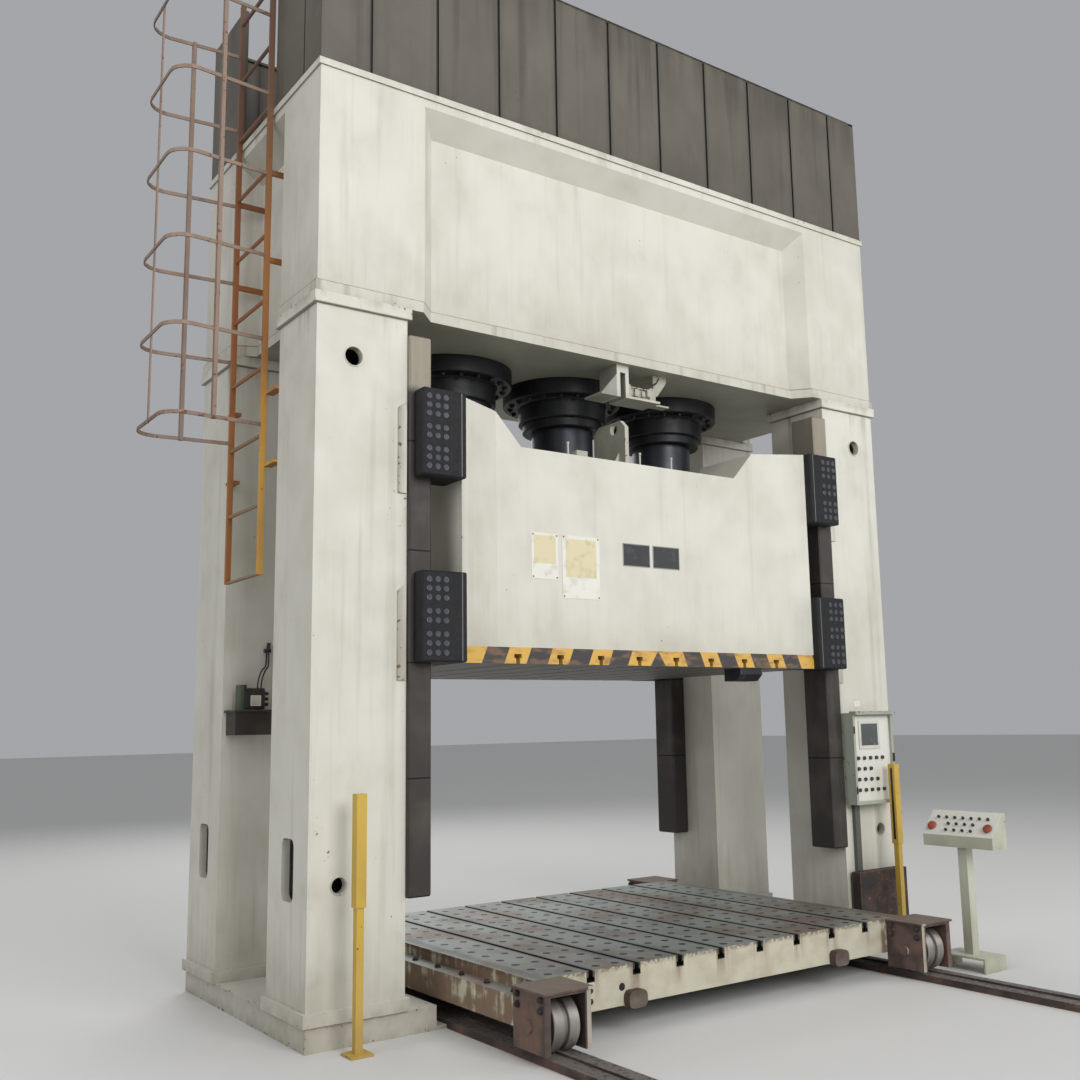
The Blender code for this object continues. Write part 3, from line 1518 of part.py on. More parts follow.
def build_light_curtain(side):
    """A light curtain on its post beside the work space."""
    x = side * CURTAIN_X
    half, post = CURTAIN_WIDTH / 2, CURTAIN_POST / 2
    sole = CURTAIN_SOLE / 2
    curtain = block(
        f"light_curtain_{SIDE_NAMES[side]}",
        (x - half, CURTAIN_Y - half, CURTAIN_FOOT),
        (x + half, CURTAIN_Y + half, CURTAIN_HEAD),
        YELLOW,
    )
    join(
        curtain,
        block(
            f"curtain_post_{SIDE_NAMES[side]}",
            (x - post, CURTAIN_Y - post, 0),
            (x + post, CURTAIN_Y + post, CURTAIN_FOOT + OVERRUN),
        ),
        block(
            f"curtain_sole_{SIDE_NAMES[side]}",
            (x - sole, CURTAIN_Y - sole, 0),
            (x + sole, CURTAIN_Y + sole, CURTAIN_SOLE_THICKNESS),
        ),
    )
    lens_x = x - side * half
    low_x, high_x = sorted((lens_x + side * CURTAIN_LENS_DEPTH, lens_x - side * OVERRUN))
    lens = CURTAIN_LENS_WIDTH / 2
    cut(
        curtain,
        block(
            f"curtain_lens_{SIDE_NAMES[side]}",
            (low_x, CURTAIN_Y - lens, CURTAIN_FOOT + half),
            (high_x, CURTAIN_Y + lens, CURTAIN_HEAD - half),
        ),
    )


def build_palm_button(name, frame):
    """A mushroom button whose head stands off its seat by its travel."""
    seat = PALM_TRAVEL + PALM_CLEARANCE
    profile = [
        (0, PALM_HEAD_HEIGHT),
        (PALM_HEAD_RADIUS * math.cos(TURN / 6), PALM_HEAD_HEIGHT),
        (PALM_HEAD_RADIUS * math.cos(TURN / 12), PALM_HEAD_HEIGHT * math.cos(TURN / 12)),
        (PALM_HEAD_RADIUS, PALM_HEAD_HEIGHT * math.cos(TURN / 6)),
        (PALM_HEAD_RADIUS, seat),
        (PALM_STEM_RADIUS, seat),
        (PALM_STEM_RADIUS, -PALM_STEM_LENGTH),
        (0, -PALM_STEM_LENGTH),
    ]
    palm = turned(name, profile, (0, 0, 0), "Z", 20, RED)
    palm.matrix_world = frame


def build_control_box():
    """The control box on the right front column, with its hood, screen, buttons and trunk."""
    back = -HALF_DEPTH - GAP
    face = back - PANEL_BOX_THICKNESS
    half = PANEL_BOX_WIDTH / 2
    left, right = PANEL_BOX_X - half, PANEL_BOX_X + half
    low_z, high_z = PANEL_BOX_BOTTOM, PANEL_BOX_BOTTOM + PANEL_BOX_HEIGHT
    box = block("control_box", (left, face, low_z), (right, back, high_z), GREY_GREEN)
    sink = block(
        "control_box_sink",
        (left + PANEL_FRAME, face - OVERRUN, low_z + PANEL_FRAME),
        (right - PANEL_FRAME, face + PANEL_SINK, high_z - PANEL_FRAME),
    )
    cut(box, sink)
    hood = block(
        "control_hood",
        (left, face - PANEL_HOOD, high_z - PANEL_HOOD_THICKNESS),
        (right, face + PANEL_HOOD, high_z + PANEL_HOOD_THICKNESS),
    )
    trunk = block(
        "control_trunk",
        (TRUNK_X - TRUNK_WIDTH / 2, back - TRUNK_DEPTH, FOOT_BLOCK_HEIGHT + GAP),
        (TRUNK_X + TRUNK_WIDTH / 2, back - GAP, low_z + OVERRUN),
    )
    floor = face + PANEL_SINK
    buttons = []
    start = PANEL_BOX_X - SCREEN_SETOVER - PANEL_BUTTON_PITCH * (max(PANEL_ROW_COUNTS) - 1) / 2
    for row, count in enumerate(PANEL_ROW_COUNTS):
        z = low_z + PANEL_ROW_BASE + row * PANEL_ROW_PITCH
        for column in range(count):
            x = start + column * PANEL_BUTTON_PITCH
            buttons.append(
                bar(
                    f"panel_button_{row}_{column}",
                    (x, floor + PANEL_FRAME, z),
                    (x, floor - BUTTON_HEIGHT, z),
                    BUTTON_RADIUS,
                    8,
                )
            )
    join(box, hood, trunk, *buttons)
    screen_x = PANEL_BOX_X - SCREEN_SETOVER
    block(
        "control_screen",
        (screen_x - SCREEN_WIDTH / 2, floor - SCREEN_THICKNESS - GAP, SCREEN_FOOT),
        (screen_x + SCREEN_WIDTH / 2, floor - GAP, SCREEN_TOP),
        SCREEN,
    )


def build_foot_block():
    half = FOOT_BLOCK_WIDTH / 2
    block(
        "foot_block",
        (COLUMN_X - half, FOOT_BLOCK_FRONT, 0),
        (COLUMN_X + half, FOOT_BLOCK_BACK, FOOT_BLOCK_HEIGHT),
        RUST,
    )


def console_frame():
    """The console's own frame: X along its length, -Y towards the operator."""
    return Matrix.Translation((CONSOLE_X, CONSOLE_Y, 0)) @ Matrix.Rotation(CONSOLE_YAW, 4, "Z")


def console_slope():
    """The tilt of the console's top."""
    return math.atan2(CONSOLE_BACK - CONSOLE_LIP, CONSOLE_DEPTH - CONSOLE_TOP_DEPTH)


def console_face(along, back):
    """A frame on the sloping top: back runs from the front edge up the slope."""
    tilt = console_slope()
    spot = Matrix.Translation(
        (
            along,
            -CONSOLE_DEPTH / 2 + back * math.cos(tilt),
            CONSOLE_BOTTOM + CONSOLE_LIP + back * math.sin(tilt),
        )
    )
    return console_frame() @ spot @ Matrix.Rotation(tilt, 4, "X")


def build_console():
    """A wedge-shaped desk with two palm buttons, on a post and a folded foot."""
    half, depth = CONSOLE_LENGTH / 2, CONSOLE_DEPTH / 2
    desk = slab(
        "console_desk",
        [
            (-depth, CONSOLE_BOTTOM),
            (depth, CONSOLE_BOTTOM),
            (depth, CONSOLE_BOTTOM + CONSOLE_BACK),
            (depth - CONSOLE_TOP_DEPTH, CONSOLE_BOTTOM + CONSOLE_BACK),
            (-depth, CONSOLE_BOTTOM + CONSOLE_LIP),
        ],
        "X",
        -half,
        half,
        CREAM,
    )
    desk.matrix_world = console_frame()
    buttons = []
    for row, count in enumerate(CONSOLE_ROW_COUNTS):
        back = CONSOLE_ROW_BASE + row * CONSOLE_ROW_PITCH
        for column in range(count):
            along = (column - (count - 1) / 2) * CONSOLE_BUTTON_PITCH
            button = bar(
                f"console_button_{row}_{column}",
                (0, 0, -BUTTON_HEIGHT),
                (0, 0, BUTTON_HEIGHT),
                SMALL_BUTTON_RADIUS,
                6,
            )
            button.matrix_world = console_face(along, back)
            buttons.append(button)
    join(desk, *buttons)
    for side in (-1, 1):
        frame = console_face(side * (half - PALM_MARGIN), PALM_BACK)
        well = bar(
            f"palm_well_{SIDE_NAMES[side]}",
            (0, 0, -PALM_STEM_LENGTH - PALM_TRAVEL - PALM_CLEARANCE),
            (0, 0, OVERRUN),
            PALM_STEM_RADIUS + PALM_CLEARANCE,
            16,
        )
        well.matrix_world = frame
        cut(desk, well)
        build_palm_button(f"palm_button_{SIDE_NAMES[side]}", frame)
    post_half = CONSOLE_POST / 2
    stand = block(
        "console_stand",
        (-post_half, -post_half, CONSOLE_FOOT_HEIGHT - CONSOLE_FOOT_WALL / 2),
        (post_half, post_half, CONSOLE_BOTTOM - GAP),
        CREAM,
    )
    foot_half, foot_depth = CONSOLE_FOOT_LENGTH / 2, CONSOLE_FOOT_DEPTH / 2
    inner = foot_half - CONSOLE_FOOT_WALL
    channel = slab(
        "console_foot",
        [
            (-foot_half, 0),
            (-foot_half, CONSOLE_FOOT_HEIGHT),
            (foot_half, CONSOLE_FOOT_HEIGHT),
            (foot_half, 0),
            (inner, 0),
            (inner, CONSOLE_FOOT_HEIGHT - CONSOLE_FOOT_WALL),
            (-inner, CONSOLE_FOOT_HEIGHT - CONSOLE_FOOT_WALL),
            (-inner, 0),
        ],
        "Y",
        -foot_depth,
        foot_depth,
    )
    for piece in (stand, channel):
        piece.matrix_world = console_frame()
    join(stand, channel)


def build_press():
    build_bed()
    build_crown()
    build_guard()
    for side, end in CORNERS:
        build_column(side, end)
        build_tie_rod(side, end)
        build_guide_rail(side, end)
        build_guide_shoe(side, end, "lower", SLIDE_BOTTOM)
        build_guide_shoe(side, end, "upper", SLIDE_END_TOP - SHOE_HEIGHT)
        build_wheel_box(side, end)
        build_wheel(side, end)
    for index, x in enumerate(CYLINDER_XS, 1):
        build_cylinder(index, x)
        build_ram(index, x)
    build_slide()
    build_lock()
    build_clamp()
    build_bolster()
    for side in (-1, 1):
        build_floor_rail(side)
        build_light_curtain(side)
    build_ladder()
    build_cage()
    build_lubricator()
    build_control_box()
    build_foot_block()
    build_console()


build_press()
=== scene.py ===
"""Looks of a four-column hydraulic press with a rolling bolster.

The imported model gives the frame. Classes here dress its nodes and add the
small pieces that the solids leave out. Lengths are in metres.
"""

from __future__ import annotations

import json
import logging
import math
from collections.abc import Iterable, Sequence
from dataclasses import dataclass, field
from enum import Enum

import bmesh
import bpy
from mathutils import Matrix, Vector

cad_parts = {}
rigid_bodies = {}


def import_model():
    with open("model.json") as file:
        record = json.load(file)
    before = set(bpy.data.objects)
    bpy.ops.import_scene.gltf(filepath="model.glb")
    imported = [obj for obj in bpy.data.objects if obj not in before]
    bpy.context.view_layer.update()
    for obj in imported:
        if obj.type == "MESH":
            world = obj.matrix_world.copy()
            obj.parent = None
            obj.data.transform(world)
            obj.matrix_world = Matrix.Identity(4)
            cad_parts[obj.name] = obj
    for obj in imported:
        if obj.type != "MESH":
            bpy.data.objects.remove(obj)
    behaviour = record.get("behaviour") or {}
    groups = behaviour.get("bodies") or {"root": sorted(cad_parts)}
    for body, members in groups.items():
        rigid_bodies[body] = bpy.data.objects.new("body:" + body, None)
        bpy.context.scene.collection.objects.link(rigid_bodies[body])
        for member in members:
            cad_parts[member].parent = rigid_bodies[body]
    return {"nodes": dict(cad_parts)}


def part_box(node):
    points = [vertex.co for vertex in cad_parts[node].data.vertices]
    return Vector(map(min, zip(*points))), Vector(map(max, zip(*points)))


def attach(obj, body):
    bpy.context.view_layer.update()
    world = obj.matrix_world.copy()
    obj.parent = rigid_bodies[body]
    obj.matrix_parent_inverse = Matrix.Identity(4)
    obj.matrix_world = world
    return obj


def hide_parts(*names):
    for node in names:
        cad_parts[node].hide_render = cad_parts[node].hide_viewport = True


LOG = logging.getLogger("press")
MM = 0.001
TURN = 2 * math.pi
SPIN = 0.37

Colour = tuple[float, float, float]
Span = tuple[float, float]
Point = Sequence[float]
Seat = tuple[Point, Point]


def srgb(red: int, green: int, blue: int) -> Colour:
    """Turns a 0 to 255 colour into the linear one that a shader takes.

    Args:
        red: The red value.
        green: The green value.
        blue: The blue value.

    Returns:
        The three linear values.
    """
    parts = [part / 255 for part in (red, green, blue)]
    linear = [p / 12.92 if p <= 0.04045 else ((p + 0.055) / 1.055) ** 2.4 for p in parts]
    return (linear[0], linear[1], linear[2])


class Wire:
    """A shader socket that takes part in Python sums."""

    def __init__(self, shader: Shader, socket: bpy.types.NodeSocket) -> None:
        """Keeps the socket and the shader that it belongs to."""
        self.shader = shader
        self.socket = socket

    def maths(self, operation: str, *others: Wire | float) -> Wire:
        """Adds a Math node with this socket as its first value."""
        values = dict(enumerate((self, *others)))
        return self.shader.node("ShaderNodeMath", {"operation": operation}, values)

    def __add__(self, other: Wire | float) -> Wire:
        """self + other."""
        return self.maths("ADD", other)

    __radd__ = __add__

    def __mul__(self, other: Wire | float) -> Wire:
        """self * other."""
        return self.maths("MULTIPLY", other)

    __rmul__ = __mul__

    def __sub__(self, other: Wire | float) -> Wire:
        """self - other."""
        return self.maths("SUBTRACT", other)

    def __rsub__(self, other: float) -> Wire:
        """other - self."""
        return self.shader.node("ShaderNodeMath", {"operation": "SUBTRACT"}, {0: other, 1: self})

    def __truediv__(self, other: Wire | float) -> Wire:
        """self / other."""
        return self.maths("DIVIDE", other)

    def __abs__(self) -> Wire:
        """The size of the value without its sign."""
        return self.maths("ABSOLUTE")

    def least(self, other: Wire | float) -> Wire:
        """The smaller of two values."""
        return self.maths("MINIMUM", other)

    def most(self, other: Wire | float) -> Wire:
        """The larger of two values."""
        return self.maths("MAXIMUM", other)

    def reach(self, other: Wire) -> Wire:
        """The distance from the origin of a point with these two coordinates."""
        return (self * self + other * other).maths("SQRT")

    def over(self, low: float, high: float) -> Wire:
        """0 below low and 1 above high, with a smooth step between them."""
        return self.shader.node(
            "ShaderNodeMapRange",
            {"interpolation_type": "SMOOTHSTEP"},
            {"Value": self, "From Min": low, "From Max": high},
        )

    def under(self, low: float, high: float) -> Wire:
        """1 below low and 0 above high, with a smooth step between them."""
        return 1 - self.over(low, high)

    def near(self, place: float, reach: float) -> Wire:
        """1 at a place and 0 further from it than reach."""
        return abs(self - place).under(0, reach)

    def inside(self, span: Span, blur: float = MM) -> Wire:
        """1 between two values and 0 outside them."""
        return self.over(span[0] - blur, span[0]) * self.under(span[1], span[1] + blur)

    def repeat(self, pitch: float, start: float = 0.0) -> Wire:
        """The distance to the nearest of the places that lie a pitch apart."""
        share = ((self - start) / pitch + 0.5).maths("FLOORED_MODULO", 1.0)
        return abs(share - 0.5) * pitch


class Shader:
    """A material under construction, with its usual inputs at hand."""

    def __init__(self, name: str, low: Vector, high: Vector) -> None:
        """Makes an empty material with a Principled shader.

        Args:
            name: The material's name.
            low: The lowest corner of the box that wear follows.
            high: The highest corner.
        """
        self.low, self.high = low, high
        self.material = bpy.data.materials.new(name)
        self.material.use_nodes = True
        self.tree = self.material.node_tree
        self.principled = self.tree.nodes["Principled BSDF"]
        place = self.tree.nodes.new("ShaderNodeTexCoord")
        self.vector = Wire(self, place.outputs["Object"])
        self.x, self.y, self.z = self.split(self.vector)
        self.facing_x, self.facing_y, self.facing_z = self.split(Wire(self, place.outputs["Normal"]))
        self.colour: Wire | Colour = (0, 0, 0)

    def node(
        self,
        kind: str,
        settings: dict[str, object],
        values: dict[int | str, object],
        output: int = 0,
    ) -> Wire:
        """Adds a node, with its settings made before its values.

        Args:
            kind: The node's type.
            settings: Its properties.
            values: What goes into its sockets, by name or place.
            output: Which output to hand back.

        Returns:
            The output as a wire.
        """
        made = self.tree.nodes.new(kind)
        for key, value in settings.items():
            setattr(made, key, value)
        for key, value in values.items():
            self.feed(made.inputs[key], value)
        return Wire(self, made.outputs[output])

    def feed(self, socket: bpy.types.NodeSocket, value: object) -> None:
        """Links a wire to a socket, or sets its value."""
        if isinstance(value, Wire):
            self.tree.links.new(value.socket, socket)
        elif isinstance(value, tuple) and len(value) == 3 and socket.type == "RGBA":
            socket.default_value = (*value, 1)
        else:
            socket.default_value = value

    def split(self, vector: Wire) -> tuple[Wire, Wire, Wire]:
        """The three parts of a vector."""
        made = self.tree.nodes.new("ShaderNodeSeparateXYZ")
        self.feed(made.inputs[0], vector)
        return tuple(Wire(self, made.outputs[i]) for i in range(3))

    def noise(self, stretch: Point, detail: float, shift: float) -> Wire:
        """Cloudy noise, with as many lumps per metre along each axis as stretch says."""
        place = self.node(
            "ShaderNodeVectorMath",
            {"operation": "MULTIPLY_ADD"},
            {0: self.vector, 1: tuple(stretch), 2: (shift, shift * 0.7, shift * 1.3)},
        )
        return self.node("ShaderNodeTexNoise", {}, {"Vector": place, "Scale": 1.0, "Detail": detail})

    def lot(self, number: Wire) -> Wire:
        """A steady random value for each whole number."""
        whole = number.maths("FLOOR")
        return self.node("ShaderNodeTexWhiteNoise", {"noise_dimensions": "1D"}, {"W": whole})

    def mix(self, share: Wire | float, first: Wire | Colour, second: Wire | Colour) -> Wire:
        """A colour between two, by a share from 0 to 1."""
        settings = {"data_type": "RGBA", "clamp_factor": True}
        return self.node("ShaderNodeMix", settings, {0: share, 6: first, 7: second}, 2)

    def lay(self, share: Wire | float, tone: Wire | Colour) -> None:
        """Lays a tone over the colour so far, by a share from 0 to 1."""
        self.colour = self.mix(share, self.colour, tone)

    def edge(self) -> Wire:
        """The distance along the surface of the box to its nearest edge."""
        gaps = [
            (part - near).least((part - far) * -1.0).most(0.0)
            for part, near, far in zip((self.x, self.y, self.z), self.low, self.high)
        ]
        whole = gaps[0] + gaps[1] + gaps[2]
        return whole - gaps[0].most(gaps[1]).most(gaps[2])

    def close(
        self,
        roughness: Wire | float,
        metallic: Wire | float = 0.0,
        height: Wire | None = None,
        relief: float = 1.0,
        depth: float = MM,
    ) -> None:
        """Feeds the Principled shader with the colour so far and these values.

        Args:
            roughness: The roughness.
            metallic: How much of a metal it is.
            height: The height of the bumps, if there are any.
            relief: The bumps' strength.
            depth: Their depth.
        """
        values = {"Base Color": self.colour, "Roughness": roughness, "Metallic": metallic}
        if height is not None:
            bumps = {"Strength": relief, "Distance": depth, "Height": height}
            values["Normal"] = self.node("ShaderNodeBump", {}, bumps)
        for key, value in values.items():
            self.feed(self.principled.inputs[key], value)


@dataclass(frozen=True)
class Finish:
    """What every finish can do: dress an object by its name and its box."""

    name: str

    def dress(self, obj: bpy.types.Object, low: Vector, high: Vector) -> None:
        """Gives the object this finish.

        Args:
            obj: The object to dress.
            low: The lowest corner of the box that wear follows.
            high: The highest corner.
        """
        shader = Shader(f"{self.name}_{obj.name}", low, high)
        self.build(shader)
        obj.data.materials.clear()
        obj.data.materials.append(shader.material)

    def build(self, shader: Shader) -> None:
        """Builds the material's nodes."""
        raise NotImplementedError

    def mark(self, shader: Shader) -> None:
        """Adds what only one kind of part carries. Most finishes add nothing."""


@dataclass(frozen=True)
class Enamel(Finish):
    """Shop enamel that has yellowed, run and chipped."""

    colour: Colour = srgb(213, 211, 200)
    shade: Colour = srgb(194, 191, 177)
    stain: Colour = srgb(136, 127, 108)
    rust: Colour = srgb(96, 70, 54)
    grease: Colour = srgb(46, 43, 40)
    # Painted shade: the colour laid on faces that point down, where shade falls.
    soffit: Colour = srgb(128, 127, 112)
    streaks: float = 0.45
    chips: float = 0.5
    grime: float = 0.5
    seams: tuple[float, ...] = ()
    roughness: float = 0.42
    seed: float = 0.0

    def build(self, shader: Shader) -> None:
        """Builds the worn enamel, with painted shade on the faces that point down."""
        upright = abs(shader.facing_z).under(0.35, 0.8)
        cloud = shader.noise((0.9, 0.9, 0.5), 4, self.seed + 3)
        mottle = shader.noise((4.2, 4.2, 3.4), 6, self.seed + 17)
        fine = shader.noise((14, 14, 10), 5, self.seed + 11)
        runs = shader.noise((11, 11, 0.45), 4, self.seed + 5)
        threads = shader.noise((46, 46, 1.3), 3, self.seed + 21)
        shader.colour = self.colour
        shader.lay((cloud * 0.55 + mottle * 0.45).over(0.38, 0.66) * 0.7, self.shade)
        shader.lay(mottle.over(0.54, 0.74) * self.grime * 0.12, self.stain)
        shader.lay(runs.over(0.54, 0.78) * (fine * 0.6 + 0.4) * self.streaks * upright, self.stain)
        shader.lay(threads.over(0.6, 0.8) * self.streaks * 0.3 * upright, self.stain)
        edge = shader.edge()
        smear = (edge + (fine - 0.5) * 0.05).under(0.0, 0.06) * runs.over(0.35, 0.6) * 0.5 * upright
        shader.lay(smear * self.grime, self.stain)
        foot = (shader.z - shader.low.z + (runs - 0.5) * 0.9).under(0.0, 0.55) * self.grime * 0.7
        shader.lay(foot * (fine * 0.8 + 0.3) * upright, self.stain)
        for height in self.seams:
            drop = height - shader.z
            weep = drop.over(0.0, 0.004) * drop.under(0.0, 0.2) * runs.over(0.5, 0.74) * upright
            shader.lay(weep * 0.45, self.rust)
            shader.lay(shader.z.near(height, 0.007) * (fine * 0.7 + 0.35) * upright, self.rust)
        # Painted shade on the faces that point down.
        shader.lay(shader.facing_z.under(-0.92, -0.6) * (mottle * 0.3 + 0.72), self.soffit)
        chip = self.chipping(shader, edge)
        shader.lay(chip * 0.85, self.rust)
        self.mark(shader)
        height = fine * 0.35 - chip * 0.8 + threads * 0.2
        shader.close((fine * 0.18 + self.roughness) + chip * 0.3, 0.0, height, relief=0.35, depth=0.6 * MM)

    def chipping(self, shader: Shader, edge: Wire) -> Wire:
        """Where the paint has chipped: in patches, and more often along the edges."""
        speck = shader.noise((38, 38, 38), 6, self.seed + 31)
        patch = shader.noise((3.1, 3.1, 2.2), 2, self.seed + 41)
        bite = speck + patch * 0.35 + edge.under(0.0, 0.03) * 0.11
        return bite.over(0.985 - 0.09 * self.chips, 1.0 - 0.09 * self.chips)


@dataclass(frozen=True)
class HazardEnamel(Enamel):
    """Enamel with a band of slanted stripes along its foot, mirrored at the middle."""

    band: Span = (1.9299, 2.0245)
    band_foot: Span = (1.931, 1.932)
    pitch: float = 0.30
    lean: float = 0.42
    blur: float = 0.002
    wedge_half: float = 0.063
    wedge_reach: float = 0.19
    yellow: Colour = srgb(212, 168, 78)
    charcoal: Colour = srgb(58, 55, 54)
    rubbed: Colour = srgb(150, 112, 78)
    # Painted shade for the slide's underside.
    underside_shade: Colour = srgb(78, 78, 74)

    def mark(self, shader: Shader) -> None:
        """Paints the band on the outer faces, greasy and rubbed, and painted shade on the underside."""
        face = abs(shader.facing_z).under(0.4, 0.6)
        lift = shader.z - self.band[0]
        across = abs(shader.x)
        tall = self.band[1] - self.band[0]
        quarter = self.pitch / 4
        slant = across + (lift - tall / 2) * self.lean
        stripe = slant.repeat(self.pitch).over(quarter - self.blur, quarter + self.blur)
        wedge = across + lift * (self.wedge_half / tall)
        centre = wedge.over(self.wedge_half - self.blur, self.wedge_half + self.blur)
        middle = across.under(self.wedge_reach, self.wedge_reach + self.blur)
        stripe = stripe * (1 - middle) + centre * middle
        worn = shader.noise((9, 9, 26), 5, self.seed + 51)
        striped = shader.mix(stripe, self.charcoal, self.yellow)
        striped = shader.mix(worn.over(0.45, 0.7) * 0.55, striped, self.rubbed)
        striped = shader.mix(worn.over(0.6, 0.78) * 0.6, striped, self.grease)
        shader.lay(shader.z.inside(self.band) * face, striped)
        # Painted shade: the underside and the foot below the band are darkened as in shade.
        under = shader.z.under(*self.band_foot) + shader.facing_z.under(-0.9, -0.5)
        shader.lay(under.least(1.0) * 0.95, self.underside_shade)


@dataclass(frozen=True)
class SheetEnamel(Enamel):
    """Enamel on sheet panels: each panel has its own tone, and dirt runs from the seams."""

    pitch: float = 0.438
    seam: Span = (0.0085, 0.0105)
    first_lot: int = 40

    def mark(self, shader: Shader) -> None:
        """Tones the panels and darkens their seams."""
        tone = shader.lot(shader.x / self.pitch + 0.5 + self.first_lot)
        flow = shader.noise((7, 7, 0.5), 4, self.seed + 61)
        shader.lay(tone * 0.4, self.shade)
        seam = shader.x.repeat(self.pitch, self.pitch / 2)
        shader.lay(seam.under(0.0, 0.05) * flow.over(0.3, 0.6) * 0.55, self.stain)
        shader.lay(seam.under(*self.seam), self.grease)
        shader.lay((shader.high.z - shader.z).under(0.0, 0.5) * flow.over(0.4, 0.7) * 0.6, self.stain)


@dataclass(frozen=True)
class SideGreyEnamel(Enamel):
    """Enamel with a grey layer on its faces along X and on all that lies left of one place."""

    film: Colour = srgb(104, 108, 92)
    share: float = 0.85
    grey_left: float = -9.0

    def mark(self, shader: Shader) -> None:
        """Lays the grey on the faces that point along X, and on all that lies left of one place."""
        side = abs(shader.facing_x).over(0.5, 0.8)
        film = shader.noise((9, 9, 7), 5, self.seed + 71)
        flank = shader.x.under(self.grey_left - 0.001, self.grey_left)
        shader.lay((side + flank).least(1.0) * (film * 0.5 + 0.5) * self.share, self.film)


@dataclass(frozen=True)
class LadderEnamel(Enamel):
    """Yellow ladder paint: fresh on the front stile, rusted behind and higher up."""

    orange: Colour = srgb(150, 88, 48)
    step: Colour = srgb(124, 104, 86)
    upper_dark: Colour = srgb(92, 76, 66)
    stiles: Span = (-0.235, 0.295)
    rusted_above: Span = (3.1, 3.9)
    darker_above: Span = (4.3, 5.9)

    def mark(self, shader: Shader) -> None:
        """Tones the rear stile, the rungs and the height."""
        front, rear = self.stiles
        cloud = shader.noise((8, 8, 3), 5, self.seed + 81)
        shader.lay(shader.y.over(rear - 0.04, rear - 0.03) * (cloud * 0.5 + 0.55), self.orange)
        shader.lay(shader.y.inside((front + 0.02, rear - 0.035), 0.004) * 0.8, self.step)
        shader.lay((shader.z + (cloud - 0.5) * 0.9).over(*self.rusted_above) * 0.75, self.orange)
        # Darker towards the top of the ladder.
        shader.lay((shader.z + (cloud - 0.5) * 0.8).over(*self.darker_above) * 0.75, self.upper_dark)


@dataclass(frozen=True)
class PanelEnamel(Enamel):
    """Enamel of the control box: a pale inner panel, dark buttons and a dark trunk."""

    panel_plane: Span = (-1.0165, -1.0159)
    panel_x: Span = (1.773, 2.157)
    panel_z: Span = (1.003, 1.597)
    button_x: Span = (1.785, 2.085)
    button_z: Span = (1.055, 1.325)
    box_foot: float = 0.98
    pale: Colour = srgb(214, 213, 203)
    dark: Colour = srgb(46, 46, 48)

    def mark(self, shader: Shader) -> None:
        """Colours the panel, its buttons and the trunk by their places."""
        ahead = shader.facing_y.under(-0.8, -0.4)
        deep = shader.y.over(*self.panel_plane)
        inner = shader.x.inside(self.panel_x) * shader.z.inside(self.panel_z)
        shader.lay(inner * deep * ahead, self.pale)
        proud = shader.y.under(*self.panel_plane)
        buttons = shader.x.inside(self.button_x) * shader.z.inside(self.button_z)
        shader.lay(proud * buttons, self.dark)
        shader.lay(shader.z.under(self.box_foot - 0.002, self.box_foot) * 0.8, self.dark)


@dataclass(frozen=True)
class DeskEnamel(Enamel):
    """Enamel of the console: whatever stands above its slope is a dark button."""

    edge_x: float = 1.75
    edge_z: float = 0.825
    slope: float = math.atan2(0.145, 0.12)
    dark: Colour = srgb(44, 44, 46)
    pale: Colour = srgb(226, 225, 216)

    def mark(self, shader: Shader) -> None:
        """Colours the slope pale and the buttons dark."""
        lift = (shader.x - self.edge_x) * -math.sin(self.slope)
        lift = lift + (shader.z - self.edge_z) * math.cos(self.slope)
        shader.lay(lift.over(-0.003, -0.001) * 0.8, self.pale)
        shader.lay(lift.over(0.0006, 0.0014), self.dark)


@dataclass(frozen=True)
class OilyIron(Finish):
    """Dark iron with a film of oil, worn bright along its edges."""

    colour: Colour = srgb(38, 38, 44)
    dust: Colour = srgb(84, 80, 76)
    bright: Colour = srgb(120, 116, 110)
    settled: Colour = srgb(156, 148, 132)
    gap: Colour = srgb(14, 13, 13)
    metallic: float = 0.35
    roughness: float = 0.36
    segment: float = 0.0
    dusty_above: float = 0.0
    seed: float = 0.0

    def build(self, shader: Shader) -> None:
        """Builds the oily iron, with joints between its segments if it has any."""
        cloud = shader.noise((4, 4, 4), 4, self.seed)
        fine = shader.noise((34, 34, 34), 5, self.seed + 7)
        runs = shader.noise((16, 16, 0.9), 3, self.seed + 13)
        shader.colour = self.colour
        shader.lay(cloud.over(0.45, 0.75) * 0.6, self.dust)
        shader.lay(runs.over(0.55, 0.75) * 0.45, self.dust)
        edge = shader.edge() + (fine - 0.5) * 0.012
        shader.lay(edge.under(0.0, 0.006) * 0.7, self.bright)
        height = fine * 0.4 + cloud * 0.3
        if self.segment:
            joint = shader.z.repeat(self.segment, shader.low.z).under(0.003, 0.005)
            shader.lay(joint, self.gap)
            height = height - joint * 2.0
        if self.dusty_above:
            ragged = shader.z + (cloud - 0.5) * 0.1
            upper = ragged.over(self.dusty_above - 0.03, self.dusty_above + 0.03)
            shader.lay(upper * (runs * 0.4 + 0.6), self.settled)
        self.mark(shader)
        roughness = fine * 0.25 + self.roughness + cloud * 0.12
        shader.close(roughness, self.metallic, height, relief=0.4, depth=0.5 * MM)


